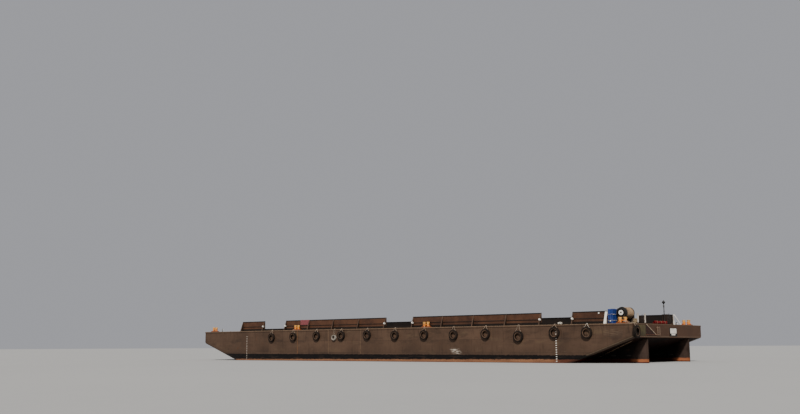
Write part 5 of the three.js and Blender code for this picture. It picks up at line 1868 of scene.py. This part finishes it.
def loose_cover():
    """The cover as it is put on: a bag with more cloth than the pack needs."""
    around, hem = 132, DECK + 0.035
    heights = list(np.linspace(hem, PACK["top"] + 0.006, 50))
    (x0, x1), (y0, y1) = PACK["x"], PACK["y"]
    middle = Vector(((x0 + x1) / 2, (y0 + y1) / 2, 0))
    half = Vector(((x1 - x0) / 2, (y1 - y0) / 2, 0))
    points = []
    lengths = [x1 - x0, y1 - y0] * 2
    edge = sum(lengths)
    outline = []
    for k in range(around):
        walk = edge * k / around
        side = 0
        while walk > lengths[side]:
            walk -= lengths[side]
            side += 1
        at = [(x0 + walk, y0), (x1, y0 + walk), (x1 - walk, y1), (x0, y1 - walk)][side]
        out = [(0, -1), (1, 0), (0, 1), (-1, 0)][side]
        outline.append((Vector((*at, 0)), Vector((*out, 0))))
    for row, z in enumerate(heights):
        share = row / (len(heights) - 1)
        for k in range(around):
            at, out = outline[k]
            before, after = outline[k - 1][1], outline[(k + 1) % around][1]
            normal = (out * 2 + before + after).normalized()
            s = edge * k / around
            # Folds lean as they climb, and die out at the taut top.
            lean = s * 9.5 + z * 3.1 + 1.9 * sin(z * 4.0)
            fold = 0.5 + 0.5 * sin(2 * pi * lean / 1.15)
            second = ripple(at.x * 7.0, at.y * 7.0, z * 4.0)
            reach = cover_section(z, hem) + (1 - share ** 3) * (0.017 * fold + 0.012 * second)
            if at.x > middle.x and normal.x > 0.3:
                reach = min(reach, 0.062)
            points.append((at.x + normal.x * reach, at.y + normal.y * reach, z))
    # Rings that shrink towards a ridge along the middle close the top.
    for ring in range(1, 7):
        share = 1 - ring / 7
        for k in range(around):
            at, _ = outline[k]
            x = middle.x + (at.x - middle.x) * share
            y = middle.y + (at.y - middle.y) * (1 - (1 - share) * half.x / half.y)
            points.append((x, y, PACK["top"] + 0.008 + 0.004 * ripple(x * 9, y * 9, 3.0)))
    rows = len(heights) + 6
    mesh = bpy.data.meshes.new("cover")
    top = tuple(range((rows - 1) * around, rows * around))
    mesh.from_pydata(points, [], grid_faces(rows, around, True) + [top])
    return mesh, around, heights


def make_blue_cover():
    mesh, around, heights = loose_cover()
    carrier = new_object("cover", mesh)
    held = carrier.vertex_groups.new(name="cinched")
    row = int(np.argmin([abs(z - CINCH_HEIGHT) for z in heights]))
    held.add(list(range(row * around, (row + 1) * around)), 1.0, "REPLACE")
    blocks = Shape(), Shape()
    blocks[0].box(PACK["x"], PACK["y"], (DECK, PACK["top"]))
    blocks[1].box((14.5, 17.0), (-4.3, -2.0), (DECK - 0.1, DECK))
    settle(carrier, blocks, 34, 0.004, 18.0, 0.005, mass=0.35, tension_stiffness=22.0,
           compression_stiffness=18.0, shear_stiffness=9.0, bending_stiffness=0.9, air_damping=2.5,
           vertex_group_mass="cinched", pin_stiffness=1.0)
    carrier.vertex_groups.clear()
    mesh = carrier.data
    bpy.data.objects.remove(carrier)
    for vertex in mesh.vertices:
        # The forward wheel guard of the winch stands just behind, so no fold reaches it.
        vertex.co.x = min(vertex.co.x, 15.828)
        vertex.co.z = max(vertex.co.z, DECK + 0.006)
    spread = mesh.uv_layers.new(name="metres")
    top_row = (len(heights) - 1) * around
    edge = 2 * (PACK["x"][1] - PACK["x"][0] + PACK["y"][1] - PACK["y"][0])
    for face in mesh.polygons:
        for loop, index in zip(face.loop_indices, face.vertices):
            row, k = divmod(index, around)
            if index < top_row + around:
                wrap = around if k == 0 and any(i % around == around - 1 for i in face.vertices) else k
                spread.data[loop].uv = (edge * wrap / around, heights[row])
            else:
                spread.data[loop].uv = (mesh.vertices[index].co.x, mesh.vertices[index].co.y)
    cover = new_piece("blue_cover", mesh, BLUE_CLOTH, sharp=80,
                      replaces="power_pack_cover")
    thicken(cover, 0.0025)


def make_blue_cloth():
    """Woven blue tarpaulin: threads, creases gone pale, dirt from the hem up and dust on top."""
    f = Finish("blue_cloth")
    weave = f.effect(CLOTH_WEAVE, Thread=0.006)
    slow = f.grain(4.0, 5.0, 0.6)
    creases = f.grain((9.0, 9.0, 5.0), 6.0, 0.7, 0.6)
    crease_lines = f.remap(abs(creases - 0.5), 0.0, 0.03, 1.0, 0.0)
    dust = f.effect(SETTLED_DUST, Amount=0.5)
    grime = f.remap(f.apart(f.place)["Z"], 2.9, 2.45) * f.remap(slow, 0.4, 0.65)
    f.colour = f.mix(slow, (10, 28, 84), (26, 54, 126))
    f.coat(weave["Yarn"] * 0.15, 46, 76, 148)
    f.coat(crease_lines * 0.3, 80, 108, 168)
    f.coat(grime * 0.55, 48, 50, 62)
    f.coat(dust["Mask"] * 0.35, 84, 90, 110)
    height = weave["Height"] * 0.35 + crease_lines * 0.9
    return f.set(Roughness=0.5 + slow * 0.2, Specular_IOR_Level=0.3, Normal=f.bump(height, 0.0012))


BLUE_CLOTH = make_blue_cloth()
make_blue_cover()
refinish("power_pack", WINCH_STEEL)


def tie_round(shape, points, thickness):
    """A cord pulled tight round something."""
    shape.laid(eased(list(points) + [points[0]], 4), thickness, thickness * 3.4, 0.008, 8)


def knot_at(shape, at, size=0.012, slot=0):
    """A small overhand knot with two short tails."""
    at = Vector(at)
    turns = [pi * k / 6 for k in range(19)]
    loop = [Vector((0.9 * sin(t), 1.5 * cos(t * 0.66), cos(t))) for t in turns]
    tails = [[Vector(p) for p in line] for line in (((0, 0, 0), (0.4, 2.2, 0.5), (1, 4, -0.6)),
                                                    ((0, 0, 0), (0.4, -2, 0.4), (0.8, -3.8, -1)))]
    for line in [loop] + tails:
        shape.laid(eased([at + spot * size for spot in line], 3), size, size * 3.4, size * 0.5, 7, slot=slot)


def make_cover_ties():
    """Two cords round the blue cover, drawn tight over its folds."""
    shape = Shape()
    (x0, x1), (y0, y1) = PACK["x"], PACK["y"]
    for z, out in ((CINCH_HEIGHT, 0.042), (2.97, 0.034)):
        line = []
        for x, y, turn in ((x0, y0, 180), (x1, y0, 270), (x1, y1, 0), (x0, y1, 90)):
            for k in range(4):
                angle = radians(turn + 30 * k)
                line.append((x + cos(angle) * out, y + sin(angle) * out, z + 0.006 * sin(7 * y + k)))
        tie_round(shape, line, 0.013)
        knot_at(shape, (x1 + out * 0.9 - 0.004, y0 + 0.12, z), 0.013)
    new_piece("cover_ties", shape, WHITE_ROPE, sharp=60)


# Red cover, rolled up along the transom edge

ROLL = {"x": STERN - 0.09, "y": (-1.72, -0.1), "radius": 0.084, "pitch": 0.012, "core": 0.016,
        "ties": (-1.42, -0.9, -0.4)}


def roll_point(turn_length, y):
    """A point of the rolled sheet, from its metres along the spiral and its place along the roll."""
    radius = sqrt(max(ROLL["radius"] ** 2 - ROLL["pitch"] * turn_length / pi, ROLL["core"] ** 2))
    turn = 2 * pi * (ROLL["radius"] - radius) / ROLL["pitch"] + 0.5
    around = Vector((cos(turn) * 1.3, sin(turn) * 1.3, y * 4.4))
    crumple = 0.96 + 0.3 * noise.noise(around * 1.1) + 0.15 * noise.noise(around * 3.1 + Vector((4, 4, 4)))
    for tie in ROLL["ties"]:
        crumple *= 1 - 0.13 * exp(-((y - tie) / 0.045) ** 2)
    ends = min(abs(y - ROLL["y"][0]), abs(y - ROLL["y"][1]))
    y += 0.02 * ripple(turn * 0.8, y, 2.0) * max(0.0, 1 - ends * 6)
    across = cos(turn) * radius * crumple * 0.96 + 0.006 * sin(y * 5.0)
    up = sin(turn) * radius * crumple + ROLL["radius"] * 1.02
    # The roll lies flat on the deck, so its underside is pressed.
    up = up if up > 0.022 else 0.022 - (0.022 - up) * 0.42
    y = min(max(y, ROLL["y"][0]), ROLL["y"][1])
    return Vector((ROLL["x"] + across * 0.99, y, DECK + GAP + max(up, 0.0012)))


def make_red_cover():
    length = pi * (ROLL["radius"] ** 2 - ROLL["core"] ** 2) / ROLL["pitch"]
    along, across = 96, 116
    points, uvs = [], []
    for i in range(along + 1):
        y = ROLL["y"][0] + (ROLL["y"][1] - ROLL["y"][0]) * i / along
        for k in range(across + 1):
            reach = length * k / across
            points.append(roll_point(reach, y))
            uvs.append((reach, y))
    mesh = sheet_mesh("red_cover", points, uvs, along + 1, across + 1)
    cover = new_piece("red_cover_roll", mesh, RED_CLOTH, sharp=80, replaces="rolled_cover")
    thicken(cover, 0.0022)
    ties = Shape()
    thick = ROLL["radius"]
    for y in ROLL["ties"]:
        line = []
        for k in range(20):
            turn = 2 * pi * k / 20
            up = sin(turn) * thick * 1.02 + thick * 1.08
            up = up if up > 0.024 else 0.024 - (0.024 - up) * 0.4
            line.append((ROLL["x"] + cos(turn) * thick * 0.94, y + 0.003 * sin(3 * turn),
                         DECK + GAP + max(up, 0.0065)))
        tie_round(ties, line, 0.011)
        knot_at(ties, (ROLL["x"] + thick * 0.6, y, DECK + thick * 1.95), 0.009)
    bands = new_piece("red_cover_ties", ties, OLD_ROPE, sharp=60)


def make_red_cloth(name, dark, light, worn):
    """Faded red coated cloth: a coarse weave, pink where it is creased, brown dirt in the hollows."""
    f = Finish(name)
    weave = f.effect(CLOTH_WEAVE, Thread=0.005)
    slow = f.grain(9.0, 5.0, 0.65)
    rub = f.grain((40.0, 16.0, 40.0), 5.0, 0.7, 0.4)
    creases = f.remap(abs(rub - 0.5), 0.0, 0.045, 1.0, 0.0)
    dust = f.effect(SETTLED_DUST, Amount=0.45)
    f.colour = f.mix(slow, dark, light)
    f.coat(creases * 0.3, worn)
    f.coat(weave["Yarn"] * 0.12, worn)
    f.coat(dust["Mask"] * 0.25, 110, 72, 62)
    height = weave["Height"] * 0.35 + creases * -1.0
    return f.set(Roughness=0.8, Specular_IOR_Level=0.15, Normal=f.bump(height, 0.0015))


RED_CLOTH = make_red_cloth("red_cloth", (78, 9, 12), (124, 21, 24), (150, 44, 46))
PINK_CLOTH = make_red_cloth("pink_cloth", (84, 30, 34), (126, 62, 66), (190, 134, 136))
make_cover_ties()
make_red_cover()


# Marks and fittings along the hull sides


def make_draught_marks():
    """Raised white ticks up the side at both ends, at one spacing."""
    tick = Shape().box((-0.042, 0.042), (-4.579, -4.55), (-0.021, 0.021))
    for name, side in SIDES.items():
        shape = Shape()
        for slot, x in enumerate((12.84, -12.86)):
            place = Matrix.Translation((x, 0, 0)) @ Matrix.Diagonal((1, -side, 1, 1))
            shape.row(tick, 14, (0, 0, 0.44), (0, 0, 0.1235), place=place, slot=slot)
        new_piece(f"draught_marks_{name}", shape, [WHITE_PAINT, POST_PAINT],
                  bevel=0.0012)


def cleat_shape():
    """A horn cleat on its plate, lengthways along X."""
    shape = Shape().prism(mm("-100 -45, 100 -45, 100 45, -100 45"), "z", (0.0, 0.012))
    for x in (-0.045, 0.045):
        shape.turned(mm("0 8, 26 10, 19 24, 18 68, 0 70"), (x, 0, 0), segments=18)
    horn = mm("-145 86, -110 72, -50 60, 50 60, 110 72, 145 86, 142 97, 100 91, 45 84, -45 84, -100 91,"
              "-142 97")
    shape.prism(horn, "y", (-0.015, 0.015))
    return shape


def make_cleats():
    """Cleats at the deck edge. The near one abaft the third board has white line made fast on it."""
    tied = 13.05
    for name, side in SIDES.items():
        shape = Shape()
        source = cleat_shape().mesh("cleat")
        for x in (tied, 1.28, -13.6):
            shape.add_mesh(source, (x, side * 4.47, DECK + GAP))
        new_piece(f"cleats_{name}", shape, BLACK_PAINT, bevel=0.003, steps=2)
    turns = Shape()
    line = []
    for k in range(73):
        turn = 2 * pi * 5.5 * k / 72
        lift = 0.028 + 0.105 * k / 72
        line.append((tied + 0.088 * sin(turn), -4.47 + (0.042 + 0.006 * sin(k)) * sin(2 * turn + 0.5),
                     DECK + lift + 0.008 * cos(turn * 2)))
    turns.laid(eased(line, 3), 0.024, 0.08, 0.016, 9)
    for hand in (-1, 1):
        wrap = []
        for k in range(41):
            turn = 2 * pi * 3.2 * k / 40
            wrap.append((tied + hand * (0.03 + 0.026 * k / 10), -4.47 + 0.036 * cos(turn),
                         DECK + 0.082 + 0.036 * sin(turn)))
        turns.laid(eased(wrap, 2), 0.022, 0.075, 0.014, 9)
    new_piece("cleat_line", turns, WHITE_ROPE, sharp=60)


def make_vents():
    """Tank vents at the deck edge: a bent pipe with a white hood."""
    for name, side in SIDES.items():
        shape = Shape()
        for x in (15.99, -15.9):
            y = side * 4.37
            shape.turned(mm("22 0, 55 0, 55 10, 22 10"), (x, y, DECK + GAP), segments=20, closed=True)
            bend = [(x, y, DECK + 0.004), (x, y, DECK + 0.13), (x + 0.006, y, DECK + 0.17),
                    (x + 0.03, y, DECK + 0.195), (x + 0.062, y, DECK + 0.18), (x + 0.07, y, DECK + 0.14)]
            shape.bar(eased(bend, 5), 0.022, 18)
            shape.turned(mm("22.5 0, 34 0, 34 50, 28 56, 22.5 56"), (x + 0.07, y, DECK + 0.118), segments=20,
                         closed=True, slot=1)
            shape.disc(0.02, (0, 0.006), (x + 0.07, y, DECK + 0.142), segments=18, slot=1)
        new_piece(f"tank_vents_{name}", shape, [MAST_PAINT, WHITE_PAINT], bevel=0.001)


def make_stern_tyre_rope():
    """The stern tyre's two lines: from its tread over the transom edge to the corner bitts."""
    shape = Shape()
    full, y = BITT_PLACES["stern"]
    post = (aft(full) + BITT["spacing"] / 2, -y)
    for hand, level in ((-1, 0.098), (1, 0.126)):
        line = [(17.535, -4.37, 0.14, 2.262), (17.53, -4.36, 0.135, 2.335), (17.475, -4.34, 0.12, 2.405),
                (17.4495, -4.33, 0.11, 2.43), (17.405, -4.32, 0.1, 2.459),
                (17.2, -4.28, 0.09, 2.462 + 0.01 * hand)]
        line = [Vector((x, y + hand * out, z)) for x, y, out, z in line]
        for k in range(15):
            turn = hand * (radians(86) + 2 * pi * 1.2 * k / 14)
            line.append(Vector((post[0] + cos(turn) * 0.1, post[1] + sin(turn) * 0.1,
                                DECK + level + 0.022 * k / 14)))
        shape.laid(eased(line, 5), 0.022, 0.022 * 3.4, 0.02, 9)
    new_piece("stern_tyre_rope", shape, GREY_ROPE, sharp=60)


# Deck fittings and what the cargo left behind


def oval(x, y, long, wide, count, start=0.0):
    """A full oval round a place, blunter than an ellipse."""
    return [(x + long * copysign(abs(a) ** 0.7, a), y + wide * copysign(abs(b) ** 0.7, b))
            for a, b in spun(count, start=start)]


def make_deck_hatches():
    """Flush oval manhole covers with their bolts, and filler caps."""
    shape = Shape()
    for x, y in mm("-14900 -2200, -14900 2200, -16400 0, 15200 2100, 15200 0, 16700 3100, 16300 -1000"):
        shape.prism(oval(x, y, 0.2, 0.135, 28), "z", (DECK - 0.006, DECK + 0.01))
        shape.prism(oval(x, y, 0.18, 0.1161, 28), "z", (DECK + 0.009, DECK + 0.0145))
        for a, b in oval(x, y, 0.165, 0.102, 14, pi / 14):
            shape.disc(0.013, (0, 0.01), (a, b, DECK + 0.0145), segments=6)
        grip = eased([(x - 0.05, y, DECK + 0.012), (x - 0.045, y, DECK + 0.038), (x + 0.045, y, DECK + 0.038),
                      (x + 0.05, y, DECK + 0.012)], 5)
        shape.bar(grip, 0.006, 10)
    for x in (-14.2, 14.6, 15.9):
        for y in (-1.4, 1.4):
            shape.turned(mm("0 -4, 50 -4, 50 6, 42 12, 12 12, 12 6, 0 6"), (x, y, DECK), segments=28)
    new_piece("deck_hatches", shape, DECK_STEEL, bevel=0.0015)


def make_lashing_rings():
    """D-rings on pads along both sides of the deck, inside the boards."""
    ring = Shape().prism(mm("-50 -30, 50 -30, 50 30, -50 30"), "z", (-0.003, 0.008))
    ring.disc(0.011, (-0.028, 0.028), (0, 0, 0.013), (1, 0, 0), 10)
    bow = eased(mm("-20 2 15, -35 30 18, -30 70 20, 0 85 20, 30 70 20, 35 30 18, 20 2 15"), 3)
    ring.bar(bow, 0.007, 7)
    shape = Shape()
    for y, hand in ((-4.05, 1), (4.05, -1)):
        place = Matrix.Translation((-15.4, y, DECK)) @ Matrix.Diagonal((1, hand, 1, 1))
        shape.row(ring, 16, (0, 0, 0), (2.05, 0, 0), place=place)
    new_piece("lashing_rings", shape, DECK_STEEL, sharp=35)


def make_crumb_builder():
    """Crumbs of cargo strewn over a patch of deck, each turned and sized at random from one seed."""
    w, given = new_builder("strewn_crumbs", Crumbs_Per_Metre=12.0, Crumb_Size=0.018, Seed=4)
    seed = given["Seed"]
    spread = w.get("GeometryNodeDistributePointsOnFaces", {
        "Mesh": given["Geometry"], "Density": given["Crumbs Per Metre"], "Seed": seed})
    lump = w.get("GeometryNodeMeshIcoSphere", {"Radius": given["Crumb Size"], "Subdivisions": 1})
    turn = w.get("FunctionNodeRandomValue", {
        0: (0.0, 0.0, 0.0), 1: (6.28, 6.28, 6.28), "Seed": seed}, data_type="FLOAT_VECTOR")
    size = w.get("FunctionNodeRandomValue", {
        0: (0.25, 0.3, 0.2), 1: (1.3, 1.1, 0.75), "Seed": seed + 7.0}, data_type="FLOAT_VECTOR")
    copies = w.get("GeometryNodeInstanceOnPoints", {
        "Points": spread, "Instance": lump, "Rotation": turn, "Scale": size})
    return close_builder(w, given, copies)


def make_cargo_crumbs():
    patches = Shape()
    for (x0, x1), (y0, y1) in (((-14.4, 14.9), (3.3, 4.18)), ((-14.4, 14.9), (-4.18, -3.3)),
                               ((-14.8, -13.6), (-3.3, 3.3)), ((14.0, 15.2), (-2.0, 3.3))):
        corners = [(x, y, DECK - 0.002) for x, y in ((x0, y0), (x1, y0), (x1, y1), (x0, y1))]
        patches.add(corners, [(0, 1, 2, 3)])
    mesh = built(make_crumb_builder(), patches, Crumbs_Per_Metre=34.0, Crumb_Size=0.017, Seed=4)
    new_piece("cargo_crumbs", mesh, COAL_CRUMB, sharp=20)


def make_crumb_finish():
    f = Finish("cargo_crumb")
    tone = f.grain(30.0, 4.0)
    grit = f.grain(160.0, 3.0, 0.7)
    f.colour = f.mix(tone, (16, 15, 15), (48, 43, 40))
    return f.set(Roughness=0.5 + grit * 0.4, Normal=f.bump(grit, 0.002))


DECK_STEEL = painted_steel("deck_steel", (92, 80, 70), (56, 47, 41), rust_amount=0.4, patch=0.12,
                           worn=(140, 126, 110), dust=0.3, edge=0.006)
COAL_CRUMB = make_crumb_finish()
make_draught_marks()
make_cleats()
make_vents()
make_stern_tyre_rope()
make_deck_hatches()
make_lashing_rings()
make_cargo_crumbs()


# A white raking brace at the far board's end, and a red cloth hung on the near board


def make_raking_brace():
    """A white pipe from the far board's top corner down to a pad on the deck, with flattened bolted ends."""
    shape = Shape()
    head, foot = Vector((15.93, 4.316, 3.10)), Vector((16.27, 4.50, DECK + 0.03))
    shape.rod(head, foot, 0.021, 20)
    shape.box((15.80, 15.955), (4.302, 4.312), (3.075, 3.125))
    shape.box((16.21, 16.33), (4.44, 4.55), (DECK + GAP, DECK + 0.012))
    shape.box((16.262, 16.274), (4.46, 4.54), (DECK + 0.01, DECK + 0.07))
    for at, way in (((15.93, 4.32, 3.1), (0, 1, 0)), ((16.274, 4.5, DECK + 0.045), (1, 0, 0))):
        shape.disc(0.014, (0, 0.011), at, way, 6)
    new_piece("raking_brace", shape, WHITE_PAINT, bevel=0.001)


HUNG = {"x": (-7.6, -6.7), "board": 4.276}


def make_red_cloth_on_board():
    """A cloth thrown over the second near board's rail. It settles on the rail by simulation."""
    (x0, x1), top = HUNG["x"], BOARD_TOP + 0.006
    flat = 0.74
    across, along = 46, 40
    points, uvs = [], []
    for k in range(along + 1):
        reach = flat * (k / along - 0.5)
        for i in range(across + 1):
            share = i / across
            x = x0 + (x1 - x0) * share
            over = max(0.0, abs(reach) - 0.034)
            hand = copysign(1.0, reach)
            y = -HUNG["board"] - hand * min(abs(reach), 0.034) - hand * 0.012 * min(1.0, over * 20)
            wave = sin(share * 17.0 + reach * 5.0) + 0.7 * ripple(share * 9, reach * 6, 2.0)
            y -= hand * 0.012 * wave * min(1.0, over * 5)
            z = top - over + 0.004 * wave * 0.3
            points.append((x + 0.02 * ripple(share * 3, reach * 7, 5.0), y, z))
            uvs.append((x, reach))
    mesh = sheet_mesh("red_cloth_on_board", points, uvs, along + 1, across + 1)
    piece = bpy.data.objects.new("red_cloth_on_board", mesh)
    bpy.context.scene.collection.objects.link(piece)
    block = Shape().box((x0 - 0.4, x1 + 0.4), (-4.301, -4.241), (3.08, BOARD_TOP))
    block.box((x0 - 0.4, x1 + 0.4), (-4.286, -4.264), (2.5, 3.09))
    settle(piece, [block], 26, 0.003, 30.0, 0.003, mass=0.3, bending_stiffness=0.25, air_damping=3.0)
    mesh = piece.data
    bpy.data.objects.remove(piece)
    cloth = new_piece("red_cloth_on_board", mesh, PINK_CLOTH, sharp=80)
    thicken(cloth, 0.002)


make_raking_brace()
make_red_cloth_on_board()
